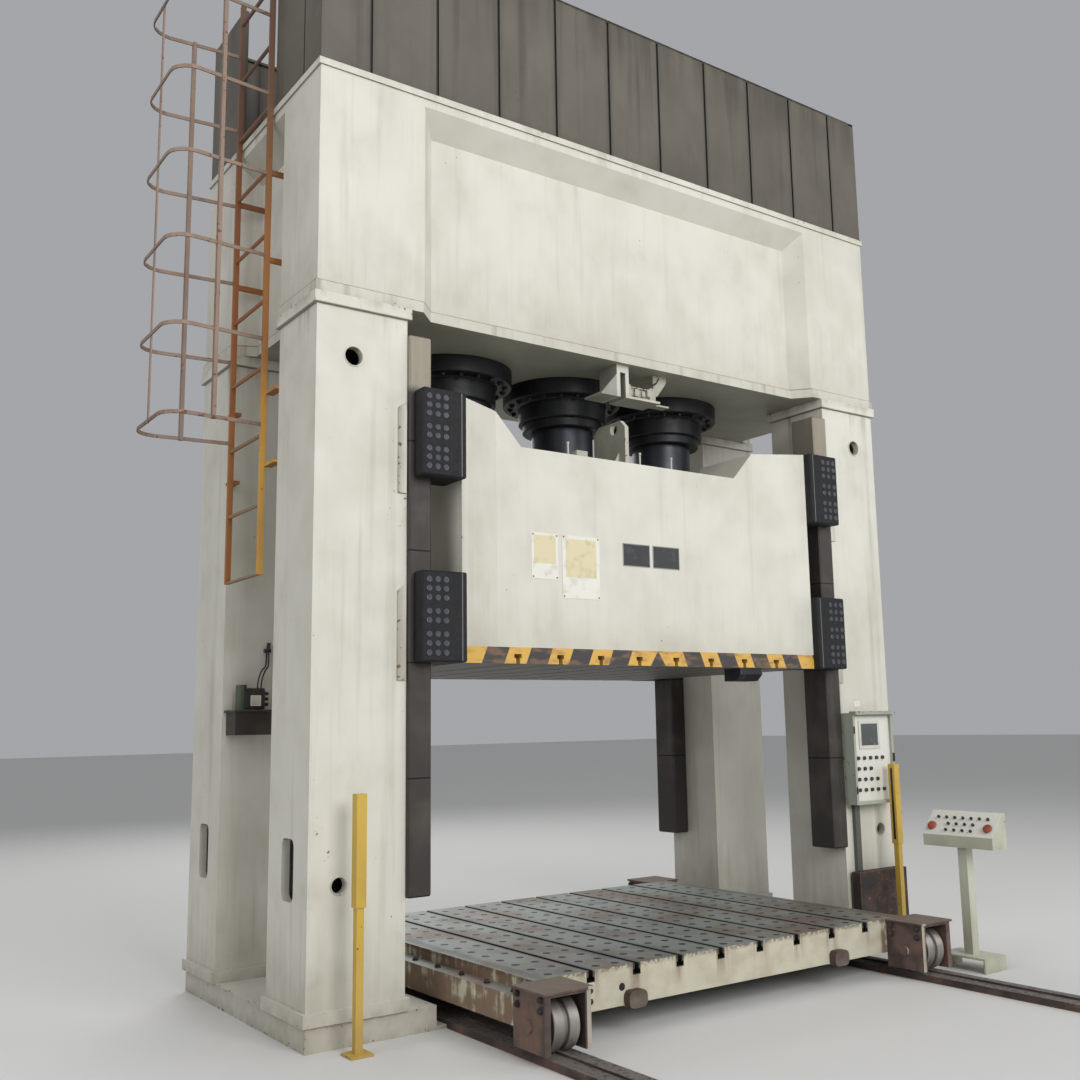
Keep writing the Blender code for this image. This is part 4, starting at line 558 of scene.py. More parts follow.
@dataclass(frozen=True)
class ShoeIron(OilyIron):
    """The guide shoes: a bright wear line and a row of recesses beside the slide, painted dark as shade."""

    line_x: float = 1.452
    recess_x: float = 1.490
    recess_pitch: float = 0.062
    recess_radius: Span = (0.010, 0.013)
    rubbed: Colour = srgb(150, 150, 146)
    recess_shade: Colour = srgb(12, 12, 14)

    def mark(self, shader: Shader) -> None:
        """Draws the line, and the recesses in painted shade, on the faces along Y."""
        face = abs(shader.facing_y).over(0.6, 0.9)
        across = abs(shader.x)
        shader.lay(across.near(self.line_x, 0.004) * face * 0.75, self.rubbed)
        # Painted shade: each recess is a dark disc.
        along = shader.z.repeat(self.recess_pitch, shader.low.z + self.recess_pitch / 2)
        ring = (across - self.recess_x).reach(along)
        shader.lay(ring.under(*self.recess_radius) * face, self.recess_shade)


@dataclass(frozen=True)
class BarrelIron(OilyIron):
    """The grease pump: dark iron with a greenish barrel at its left."""

    barrel_edge: float = -2.1815
    green: Colour = srgb(84, 98, 78)

    def mark(self, shader: Shader) -> None:
        """Tones the barrel."""
        film = shader.noise((14, 14, 9), 4, self.seed + 9)
        barrel = shader.x.under(self.barrel_edge - 0.0005, self.barrel_edge + 0.0005)
        shader.lay(barrel * (film * 0.4 + 0.5), self.green)


@dataclass(frozen=True)
class RustyIron(Finish):
    """Bare iron under rust, grime and old paint."""

    colour: Colour = srgb(88, 70, 62)
    dark: Colour = srgb(52, 44, 42)
    orange: Colour = srgb(134, 92, 70)
    polish: Colour = srgb(150, 145, 140)
    polished_top: float = 0.0
    seed: float = 0.0

    def build(self, shader: Shader) -> None:
        """Builds the rust, with a top that wheels have polished if it has one."""
        cloud = shader.noise((5, 5, 5), 5, self.seed)
        fine = shader.noise((42, 42, 42), 6, self.seed + 9)
        shader.colour = self.dark
        shader.lay(cloud.over(0.35, 0.62), self.colour)
        shader.lay((cloud * 0.5 + fine * 0.5).over(0.54, 0.66) * 0.8, self.orange)
        edge = shader.edge() + (fine - 0.5) * 0.01
        shader.lay(edge.under(0.0, 0.007) * 0.5, self.orange)
        metallic: Wire | float = 0.1
        if self.polished_top:
            level = shader.z.over(self.polished_top - 0.004, self.polished_top)
            shine = shader.facing_z.over(0.7, 0.9) * level * fine.over(0.3, 0.55) * 0.75
            shader.lay(shine, self.polish)
            metallic = shine * 0.7 + 0.1
        self.mark(shader)
        shader.close(fine * 0.3 + 0.5, metallic, fine + cloud * 0.6, relief=0.6, depth=0.9 * MM)


@dataclass(frozen=True)
class BoxIron(RustyIron):
    """The wheel boxes: a dusty lid, brown cheeks and pale old paint on the inner cheek."""

    inner_x: float = 1.275
    lid: Colour = srgb(128, 116, 104)
    pale: Colour = srgb(188, 182, 166)

    def mark(self, shader: Shader) -> None:
        """Tones the lid and the inner cheek."""
        dusty = shader.noise((11, 11, 11), 5, self.seed + 15)
        shader.lay(shader.facing_z.over(0.6, 0.9) * (dusty * 0.5 + 0.5), self.lid)
        ahead = shader.facing_y.under(-0.9, -0.6)
        cheek = abs(shader.x).under(self.inner_x - 0.001, self.inner_x) * ahead
        shader.lay(cheek * (dusty * 0.5 + 0.5), self.pale)


@dataclass(frozen=True)
class BolsterSteel(Finish):
    """The bolster: planed steel on top, with holes between the slots painted dark as shade, and enamel on its
    sides.
    """

    plate: Colour = srgb(152, 159, 153)
    worn: Colour = srgb(132, 116, 104)
    oiled: Colour = srgb(86, 88, 84)
    blush: Colour = srgb(152, 130, 120)
    brushed: Colour = srgb(170, 172, 164)
    rim: Colour = srgb(176, 172, 164)
    enamel: Colour = srgb(192, 188, 167)
    soiled: Colour = srgb(178, 171, 150)
    lip: Colour = srgb(86, 70, 58)
    rust: Colour = srgb(104, 72, 52)
    hook: Colour = srgb(72, 56, 48)
    # Painted shade inside the holes, the port and the slots.
    hole: Colour = srgb(22, 20, 19)
    pitch: float = 0.30
    slot_half: Span = (0.026, 0.027)
    slot_depth: float = 0.058
    hole_pitch: float = 0.15
    hole_offset: float = 0.062
    hole_radius: float = 0.024
    half_width: Span = (1.38, 1.39)
    painted_half: float = 1.21
    top: float = 0.342
    front: float = -1.64
    port: Span = (-0.85, 0.235)
    port_radius: Span = (0.019, 0.021)
    hook_top: Span = (0.27, 0.28)

    def build(self, shader: Shader) -> None:
        """Builds the steel, its holes and slots with painted shade inside, and the painted sides."""
        cloud = shader.noise((2.2, 1.6, 3), 5, 2)
        patch = shader.noise((5.5, 3.2, 5), 4, 9)
        smear = shader.noise((3.4, 2.6, 4), 6, 57)
        fine = shader.noise((60, 30, 60), 5, 17)
        brush = shader.noise((90, 4, 90), 3, 27)
        shader.colour = self.plate
        shader.lay(cloud.over(0.44, 0.68), self.worn)
        shader.lay(patch.over(0.52, 0.72) * 0.5, self.oiled)
        shader.lay(smear.over(0.55, 0.7) * 0.45, self.blush)
        shader.lay(brush.over(0.55, 0.8) * 0.25, self.brushed)
        slot = shader.x.repeat(self.pitch, self.pitch / 2)
        shader.lay(slot.under(0.014, 0.045) * 0.45, self.oiled)
        offset = abs(shader.x.repeat(self.pitch) - self.hole_offset)
        ring = offset.reach(shader.y.repeat(self.hole_pitch, self.front + self.hole_pitch / 2))
        upward = shader.facing_z.over(0.7, 0.9) * shader.z.over(self.top - 0.004, self.top - 0.002)
        # Painted shade: the holes are dark discs on the top.
        hole = ring.under(self.hole_radius - 0.001, self.hole_radius + 0.001) * upward
        rim = ring.near(self.hole_radius + 0.004, 0.005) * upward
        shader.lay(rim * 0.5, self.rim)
        shader.lay(hole, self.hole)
        painted = self.sides(shader, slot, fine)
        # Painted shade inside the slots.
        deep = shader.z.inside((self.top - self.slot_depth, self.top - 0.002))
        shader.lay(deep * slot.under(*self.slot_half) * 0.85, self.hole)
        metallic = (1 - painted) * (1 - hole) * 0.5
        height = fine * 0.5 + brush * 0.4 - hole * 6.0
        shader.close(fine * 0.25 + 0.38 + painted * 0.1, metallic, height, relief=0.5, depth=0.8 * MM)

    def sides(self, shader: Shader, slot: Wire, fine: Wire) -> Wire:
        """Paints the vertical faces, with rust below each slot, painted shade in the port, and the hooks.

        Args:
            shader: The shader under construction.
            slot: The distance to the nearest slot.
            fine: Fine noise.

        Returns:
            Where the paint is.
        """
        upright = abs(shader.facing_z).under(0.3, 0.5)
        outside = abs(shader.facing_x).under(0.3, 0.5) + abs(shader.x).over(*self.half_width)
        painted = upright * outside.least(1.0)
        runs = shader.noise((20, 20, 1.2), 4, 37)
        soil = shader.noise((6, 6, 9), 5, 47)
        coat = shader.mix(soil.over(0.38, 0.7), self.enamel, self.soiled)
        weep = slot.under(0.0, 0.09) * (self.top - shader.z).under(0.0, 0.2) * runs.over(0.38, 0.6)
        coat = shader.mix(weep * 0.85, coat, self.rust)
        bare = abs(shader.x).over(self.painted_half - 0.03, self.painted_half)
        coat = shader.mix(bare * (soil + runs).over(0.8, 1.0) * 0.8, coat, self.rust)
        lip = (self.top - shader.z).under(0.004, 0.03) * fine.over(0.35, 0.6)
        coat = shader.mix(lip * 0.8, coat, self.lip)
        # Painted shade: the port is a dark disc on the front face.
        across, up = shader.x - self.port[0], shader.z - self.port[1]
        port = across.reach(up).under(*self.port_radius)
        coat = shader.mix(port * shader.y.under(self.front, self.front + 0.01), coat, self.hole)
        shader.lay(painted, coat)
        hooks = shader.y.under(self.front - 0.002, self.front - 0.001) * shader.z.under(*self.hook_top)
        shader.lay(hooks * (soil * 0.6 + 0.6), self.hook)
        return painted


@dataclass(frozen=True)
class Polished(Finish):
    """Ground or plated steel with fine turning marks under a film of oil."""

    colour: Colour = srgb(176, 176, 174)
    dull: Colour = srgb(120, 116, 110)
    roughness: float = 0.22
    metallic: float = 0.95

    def build(self, shader: Shader) -> None:
        """Builds the polished steel."""
        cloud = shader.noise((6, 6, 6), 4, 3)
        lines = shader.noise((4, 4, 130), 2, 5)
        shader.colour = self.colour
        shader.lay(cloud.over(0.4, 0.75) * 0.6, self.dull)
        roughness = lines * 0.12 + self.roughness + cloud * 0.1
        shader.close(roughness, self.metallic, lines, relief=0.15, depth=0.2 * MM)


@dataclass(frozen=True)
class Moulded(Finish):
    """Plastic, rubber or smooth paint with light soiling."""

    colour: Colour = srgb(60, 60, 60)
    soil: Colour = srgb(60, 54, 46)
    dirt: float = 0.3
    roughness: float = 0.35

    def build(self, shader: Shader) -> None:
        """Builds the moulded finish."""
        cloud = shader.noise((12, 12, 12), 5, 0.0)
        fine = shader.noise((90, 90, 90), 3, 5.0)
        shader.colour = self.colour
        shader.lay(cloud.over(0.45, 0.7) * self.dirt, self.soil)
        shader.close(cloud * 0.2 + self.roughness, 0.0, fine, relief=0.2, depth=0.2 * MM)


@dataclass(frozen=True)
class Plate(Finish):
    """A blank plate: one field of colour inside a margin of another."""

    ground: Colour = srgb(224, 222, 212)
    panel: Colour = srgb(214, 204, 168)
    soil: Colour = srgb(140, 130, 110)
    field_shares: tuple[float, float, float, float] = (0.1, 0.9, 0.34, 0.94)
    roughness: float = 0.3

    def build(self, shader: Shader) -> None:
        """Builds the plate's fields, by shares of its width and height."""
        left, right, bottom, top = self.field_shares
        size = shader.high - shader.low
        across = (shader.x - shader.low.x) / size.x
        up = (shader.z - shader.low.z) / size.z
        patch = across.inside((left, right), 0.01) * up.inside((bottom, top), 0.01)
        cloud = shader.noise((18, 18, 18), 5, 3)
        shader.colour = self.ground
        shader.lay(patch, self.panel)
        shader.lay(cloud.over(0.5, 0.75) * 0.3, self.soil)
        shader.close(cloud * 0.2 + self.roughness, 0.0, cloud, relief=0.1, depth=0.2 * MM)


SCREW_STEEL = OilyIron(
    "screw_steel",
    colour=srgb(56, 54, 54),
    dust=srgb(96, 88, 80),
    bright=srgb(150, 146, 140),
    metallic=0.6,
)


class Ends(Enum):
    """The two ends of the press along Y."""

    FRONT = -1
    REAR = 1


class Sides(Enum):
    """The two sides of the press along X."""

    LEFT = -1
    RIGHT = 1


def clear_selection() -> None:
    """Deselects all, outside edit mode."""
    if bpy.context.mode != "OBJECT":
        bpy.ops.object.mode_set(mode="OBJECT")
    bpy.ops.object.select_all(action="DESELECT")


def take(obj: bpy.types.Object) -> None:
    """Makes one object the only one selected, and active."""
    clear_selection()
    obj.select_set(True)
    bpy.context.view_layer.objects.active = obj


def settle(obj: bpy.types.Object, name: str) -> bpy.types.Object:
    """Names a piece and puts its place, turn and size into its mesh."""
    take(obj)
    obj.name = name
    obj.data.name = name
    bpy.ops.object.transform_apply(location=True, rotation=True, scale=True)
    return obj


def smooth(angle: float) -> None:
    """Shades the active piece smooth, except at edges sharper than an angle in degrees."""
    bpy.ops.object.shade_smooth_by_angle(angle=math.radians(angle))


def pick_faces(obj: bpy.types.Object, normal: Point, least: float) -> None:
    """Enters edit mode with only the faces that point one way selected."""
    take(obj)
    bpy.ops.object.mode_set(mode="EDIT")
    bpy.ops.mesh.select_mode(type="FACE")
    bpy.ops.mesh.select_all(action="DESELECT")
    mesh = bmesh.from_edit_mesh(obj.data)
    way = Vector(normal)
    for face in mesh.faces:
        face.select = face.normal.dot(way) > least
    mesh.select_flush(True)
    bmesh.update_edit_mesh(obj.data)


def bevel(obj: bpy.types.Object, width: float, segments: int = 2, angle: float = 30.0) -> None:
    """Rounds a piece's sharp edges and keeps the result."""
    take(obj)
    modifier = obj.modifiers.new("rounding", "BEVEL")
    modifier.width = width
    modifier.segments = segments
    modifier.limit_method = "ANGLE"
    modifier.angle_limit = math.radians(angle)
    bpy.ops.object.modifier_apply(modifier=modifier.name)


def slab(name: str, low: Point, high: Point, round_off: float) -> bpy.types.Object:
    """A cube brought to size between two corners, with its edges rounded.

    Args:
        name: The piece's name.
        low: Its lowest corner.
        high: Its highest corner.
        round_off: The radius of its edges.

    Returns:
        The piece.
    """
    low_corner, high_corner = Vector(low), Vector(high)
    clear_selection()
    bpy.ops.mesh.primitive_cube_add(size=1, location=(low_corner + high_corner) / 2)
    obj = bpy.context.active_object
    obj.scale = high_corner - low_corner
    settle(obj, name)
    bevel(obj, round_off)
    return obj


def drum(
    name: str, centre: Point, radius: float, depth: float, sides: int, round_off: float
) -> bpy.types.Object:
    """An upright cylinder at its size and place, with its rims rounded.

    Args:
        name: The piece's name.
        centre: Its middle.
        radius: Its radius.
        depth: Its height.
        sides: The number of its sides.
        round_off: The radius of its rims.

    Returns:
        The piece.
    """
    clear_selection()
    bpy.ops.mesh.primitive_cylinder_add(vertices=sides, radius=radius, depth=depth, location=centre)
    obj = settle(bpy.context.active_object, name)
    bevel(obj, round_off, angle=50)
    smooth(40)
    return obj


def weld(obj: bpy.types.Object) -> None:
    """Joins points that coincide and turns all faces outwards."""
    take(obj)
    bpy.ops.object.mode_set(mode="EDIT")
    bpy.ops.mesh.select_all(action="SELECT")
    bpy.ops.mesh.remove_doubles(threshold=0.01 * MM)
    bpy.ops.mesh.normals_make_consistent(inside=False)
    bpy.ops.object.mode_set(mode="OBJECT")


def line(
    name: str, kind: str, points: Sequence[Point], flat: bool = False
) -> tuple[bpy.types.Curve, bpy.types.Spline]:
    """A curve with one line through fixed points."""
    curve = bpy.data.curves.new(name, "CURVE")
    curve.dimensions = "2D" if flat else "3D"
    spline = curve.splines.new(kind)
    spline.points.add(len(points) - 1)
    for point, place in zip(spline.points, points):
        point.co = (*place, 1)
    return curve, spline


def from_curve(curve: bpy.types.Curve, name: str) -> bpy.types.Object:
    """Makes a mesh object of a curve."""
    obj = bpy.data.objects.new(name, curve)
    bpy.context.scene.collection.objects.link(obj)
    take(obj)
    bpy.ops.object.convert(target="MESH")
    return bpy.context.active_object


def pipe(name: str, points: Sequence[Point], radius: float) -> bpy.types.Object:
    """A round pipe or cable along fixed points, made a mesh."""
    curve, spline = line(name, "NURBS", points)
    spline.use_endpoint_u = True
    spline.order_u = 3
    curve.resolution_u = 8
    curve.bevel_depth = radius
    curve.bevel_resolution = 3
    curve.use_fill_caps = True
    obj = from_curve(curve, name)
    weld(obj)
    smooth(50)
    return settle(obj, name)


def turned(
    name: str, profile: Sequence[Span], centre: Point, axis: str = "Z", sides: int = 96
) -> bpy.types.Object:
    """A round piece, turned about an axis.

    Args:
        name: The piece's name.
        profile: Its section, as (radius, distance along the axis).
        centre: Where the section's origin goes.
        axis: The axis, X or Z.
        sides: The number of its sides.

    Returns:
        The piece.
    """
    curve, _ = line(name, "POLY", [(radius, 0, along) for radius, along in profile])
    obj = from_curve(curve, name)
    modifier = obj.modifiers.new("turning", "SCREW")
    modifier.steps = sides
    modifier.render_steps = sides
    bpy.ops.object.modifier_apply(modifier=modifier.name)
    weld(obj)
    obj.rotation_euler = {"X": (0, TURN / 4, 0), "Z": (0, 0, 0)}[axis]
    obj.location = centre
    smooth(35)
    return settle(obj, name)


def plate(name: str, outline: Sequence[Span], low_y: float, high_y: float) -> bpy.types.Object:
    """A flat plate: an outline of (x, z) points with its thickness along Y."""
    curve, spline = line(name, "POLY", [(x, z, 0) for x, z in outline], flat=True)
    spline.use_cyclic_u = True
    curve.fill_mode = "BOTH"
    curve.extrude = (high_y - low_y) / 2
    obj = from_curve(curve, name)
    weld(obj)
    obj.rotation_euler = (TURN / 4, 0, 0)
    obj.location = (0, (low_y + high_y) / 2, 0)
    settle(obj, name)
    bevel(obj, MM, segments=1)
    return obj


def merge(name: str, pieces: Sequence[bpy.types.Object]) -> bpy.types.Object:
    """Joins pieces into one object."""
    clear_selection()
    for piece in pieces:
        piece.select_set(True)
    bpy.context.view_layer.objects.active = pieces[0]
    if len(pieces) > 1:
        bpy.ops.object.join()
    return settle(bpy.context.active_object, name)


class Fastener:
    """A screw or bolt, modelled once with its seat at the origin and its head up +Z."""

    def __init__(self, pattern: bpy.types.Object) -> None:
        """Keeps the pattern's mesh and removes its object."""
        self.mesh = pattern.data.copy()
        bpy.data.objects.remove(pattern, do_unlink=True)

    @classmethod
    def cap_screw(cls, radius: float, height: float) -> Fastener:
        """A socket head cap screw."""
        head = drum("cap_screw", (0, 0, height / 2), radius, height, sides=14, round_off=radius * 0.12)
        pick_faces(head, (0, 0, 1), least=0.99)
        bpy.ops.mesh.inset(thickness=radius * 0.38)
        bpy.ops.transform.translate(value=(0, 0, -height * 0.6))
        bpy.ops.object.mode_set(mode="OBJECT")
        return cls(head)

    @classmethod
    def hex_bolt(cls, radius: float, height: float) -> Fastener:
        """A hexagon head on a washer, with the bolt's end above it."""
        shares = (
            ("washer", 0.12, 1.35, 0.24, 18, 0.05),
            ("hex_head", 0.62, 1.0, 0.76, 6, 0.1),
            ("bolt_end", 1.1, 0.55, 0.4, 10, 0.06),
        )
        stack = [
            drum(name, (0, 0, height * middle), radius * wide, height * tall, sides, radius * round_off)
            for name, middle, wide, tall, sides, round_off in shares
        ]
        return cls(merge("hex_bolt", stack))

    def spread(self, name: str, seats: Iterable[Seat]) -> bpy.types.Object:
        """Copies the fastener to each seat, each copy turned a little further, and joins the copies.

        Args:
            name: The joined piece's name.
            seats: For each copy, its place and the way that its head points.

        Returns:
            The joined piece.
        """
        copies = []
        for index, (seat, way) in enumerate(seats):
            copy = bpy.data.objects.new(f"{name}_{index}", self.mesh.copy())
            bpy.context.scene.collection.objects.link(copy)
            turn = Vector(way).to_track_quat("Z", "Y").to_matrix().to_4x4()
            spin = Matrix.Rotation(index * SPIN, 4, "Z")
            copy.matrix_world = Matrix.Translation(Vector(seat)) @ turn @ spin
            copies.append(copy)
        bpy.context.view_layer.update()
        return merge(name, copies)


@dataclass
class Assembly:
    """A part of the press: it dresses nodes and adds pieces that ride on one body."""

    nodes: dict[str, bpy.types.Object]
    body: str = "frame"
    made: list[str] = field(default_factory=list)

    def named(self, start: str) -> list[str]:
        """The CAD nodes whose names start with a word, in order."""
        return sorted(name for name in self.nodes if name.startswith(start))

    def dress(self, finish: Finish, *names: str) -> None:
        """Gives CAD nodes a finish, with wear along each one's own box."""
        for name in names:
            low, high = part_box(name)
            finish.dress(self.nodes[name], low, high)

    def add(
        self, piece: bpy.types.Object, finish: Finish, slot: str, body: str | None = None
    ) -> bpy.types.Object:
        """Dresses a new piece and makes it ride on its body.

        Args:
            piece: The finished mesh.
            finish: Its finish.
            slot: The record's material slot. Not used.
            body: The body, where it isn't the assembly's own.

        Returns:
            The piece.
        """
        corners = [Vector(vertex.co) for vertex in piece.data.vertices]
        low = Vector(min(c[i] for c in corners) for i in range(3))
        high = Vector(max(c[i] for c in corners) for i in range(3))
        finish.dress(piece, low, high)
        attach(piece, body or self.body)
        self.made.append(piece.name)
        LOG.info("made %s", piece.name)
        return piece

    def build(self) -> None:
        """Builds the assembly."""
        raise NotImplementedError


@dataclass
class MainFrame(Assembly):
    """The bed, the columns, the crown and the tie rods."""

    front: float = -0.925
    crown_seam: float = 4.01
    column_seam: float = 3.8795
    holes: tuple[tuple[float, float, float], ...] = ((3.61, 2.06, 0.052), (0.79, 2.11, 0.040))
    rim_radius: float = 0.004
    strip_xs: Span = (1.737, 1.788)
    strip_heights: tuple[float, float, float] = (2.87, 3.36, 3.40)
    strip_ys: Span = (0.012, 0.0003)
    shoe_drop: float = 1.035

    def build(self) -> None:
        """Dresses the frame, rims its sight holes and adds the rails' backing strips."""
        seams = (self.crown_seam,)
        self.dress(Enamel("crown_enamel", seams=seams, streaks=0.4, chips=0.3, grime=0.4, seed=2.0), "crown")
        self.dress(Enamel("bed_enamel", streaks=0.4, chips=0.9, grime=0.9, seed=6.0), "bed")
        for index, name in enumerate(self.named("column_")):
            seams = (self.column_seam,)
            self.dress(Enamel("column_enamel", seams=seams, streaks=0.5, grime=0.7, seed=10.0 + index), name)
        self.dress(OilyIron("rod_iron"), *self.named("tie_rod_"))
        rims = [self.rim(side, end, *hole) for side in Sides for end in Ends for hole in self.holes]
        self.add(merge("sight_hole_rims", rims), Enamel("rim_enamel", chips=1.0, seed=4.0), "cream_paint")
        strips = [self.strip(side, drop) for side in Sides for drop in (0.0, self.shoe_drop)]
        soiled = Enamel("strip_enamel", grime=0.9, chips=1.0, seed=5.0)
        self.add(merge("rail_backing_strips", strips), soiled, "cream_paint")

    def strip(self, side: Sides, drop: float) -> bpy.types.Object:
        """A thin backing strip on a column's front face, beside a guide shoe."""
        inner, outer = (side.value * x for x in self.strip_xs)
        foot, shoulder, head = (height - drop for height in self.strip_heights)
        low_y, high_y = (self.front - y for y in self.strip_ys)
        return plate("strip", [(inner, foot), (inner, head), (outer, shoulder), (outer, foot)], low_y, high_y)

    def rim(self, side: Sides, end: Ends, height: float, x: float, radius: float) -> bpy.types.Object:
        """A thin welded ring round a sight hole."""
        y = end.value * (abs(self.front) + self.rim_radius / 2)
        clear_selection()
        bpy.ops.mesh.primitive_torus_add(
            location=(side.value * x, y, height),
            rotation=(TURN / 4, 0, 0),
            major_segments=32,
            minor_segments=8,
            major_radius=radius + self.rim_radius,
            minor_radius=self.rim_radius,
        )
        ring = settle(bpy.context.active_object, "rim")
        bpy.ops.object.shade_smooth()
        return ring


@dataclass
class Guard(Assembly):
    """The sheet guard on the crown."""

    lip_height: float = 0.02
    lip_width: float = 0.05

    def build(self) -> None:
        """Dresses the guard and caps its top edge."""
        # Painted shade: the guard's colours are darkened to the shade that its sheets stand in; the top lip
        # takes the same finish.
        sheet = SheetEnamel(
            "guard_enamel",
            colour=srgb(106, 100, 89),
            shade=srgb(84, 79, 70),
            stain=srgb(62, 57, 49),
            streaks=0.9,
            chips=0.2,
            seed=14.0,
        )
        self.dress(sheet, "guard_fence")
        low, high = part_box("guard_fence")
        foot, wide = high.z - self.lip_height, self.lip_width
        spans = (
            ((low.x, low.y, foot), (high.x, low.y + wide, high.z)),
            ((low.x, high.y - wide, foot), (high.x, high.y, high.z)),
            ((high.x - wide, low.y, foot), (high.x, high.y, high.z)),
        )
        bars = [slab("lip", near, far, round_off=0.003) for near, far in spans]
        self.add(merge("guard_top_lip", bars), sheet, "sheet_paint")


@dataclass
class Guides(Assembly):
    """The guide rails on the columns and the shoes on the slide."""

    screw_xs: tuple[float, ...] = (1.555, 1.607, 1.660)
    screw_rises: tuple[float, ...] = (0.05, 0.10, 0.15, 0.225, 0.275, 0.35, 0.40, 0.45)
    bolt_pitch: float = 0.155
    bolt_height: float = 0.006
    bolt_proud: float = 0.0002
    inner_pair: float = 0.045
    outer_pair: float = 0.03
    bare_zone: Span = (1.85, 3.6)
    outer_above: float = 3.5

    def build(self) -> None:
        """Dresses rails and shoes and bolts them down."""
        rails, shoes = self.named("guide_rail_"), self.named("guide_shoe_")
        rail_finish = OilyIron(
            "rail_steel",
            colour=srgb(62, 58, 55),
            dust=srgb(92, 84, 76),
            bright=srgb(136, 130, 122),
            metallic=0.5,
            roughness=0.34,
            segment=0.62,
            dusty_above=3.47,
        )
        self.dress(rail_finish, *rails)
        dark, film = srgb(13, 14, 18), srgb(27, 27, 31)
        self.dress(ShoeIron("shoe_iron", colour=dark, dust=film, metallic=0.0, roughness=0.56), *shoes)
        ring = OilyIron(
            "ring_steel",
            colour=srgb(70, 71, 76),
            dust=srgb(92, 90, 92),
            bright=srgb(128, 128, 130),
            metallic=0.4,
        )
        screw = Fastener.cap_screw(radius=0.017, height=0.003)
        for name in shoes:
            self.add(screw.spread(f"{name}_screws", self.shoe_seats(name)), ring, "oiled_steel", "slide")
        small = Fastener.cap_screw(radius=0.012, height=self.bolt_height)
        for name in rails:
            self.add(small.spread(f"{name}_screws", self.rail_seats(name)), SCREW_STEEL, "oiled_steel")

    def shoe_seats(self, name: str) -> list[Seat]:
        """Where the shoe's screws sit on its outer face."""
        low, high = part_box(name)
        face, way = (low.y, -1) if low.y < 0 else (high.y, 1)
        side = 1 if low.x > 0 else -1
        return [
            ((side * x, face, low.z + rise), (0, way, 0)) for x in self.screw_xs for rise in self.screw_rises
        ]

    def rail_seats(self, name: str) -> list[Seat]:
        """Where the rail's screws sit, in pairs, on its inner and its outer face.

        They are sunk, so that the guide shoes pass over them.
        """
        low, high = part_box(name)
        inner_x, way = (high.x, 1) if low.x < 0 else (low.x, -1)
        outer_y, out = (low.y, -1) if low.y < 0 else (high.y, 1)
        middle_x, middle_y = (low.x + high.x) / 2, (low.y + high.y) / 2
        sunk = self.bolt_height - self.bolt_proud
        inner_x, outer_y = inner_x - way * sunk, outer_y - out * sunk
        bare_foot, bare_head = self.bare_zone
        seats = []
        for index in range(int((high.z - low.z) / self.bolt_pitch)):
            z = low.z + (index + 0.5) * self.bolt_pitch
            for pair in (-1, 1):
                if not bare_foot < z < bare_head:
                    seats.append(((inner_x, middle_y + pair * self.inner_pair, z), (way, 0, 0)))
            for pair in (-1, 1):
                if z > self.outer_above:
                    seats.append(((middle_x + pair * self.outer_pair, outer_y, z), (0, out, 0)))
        return seats


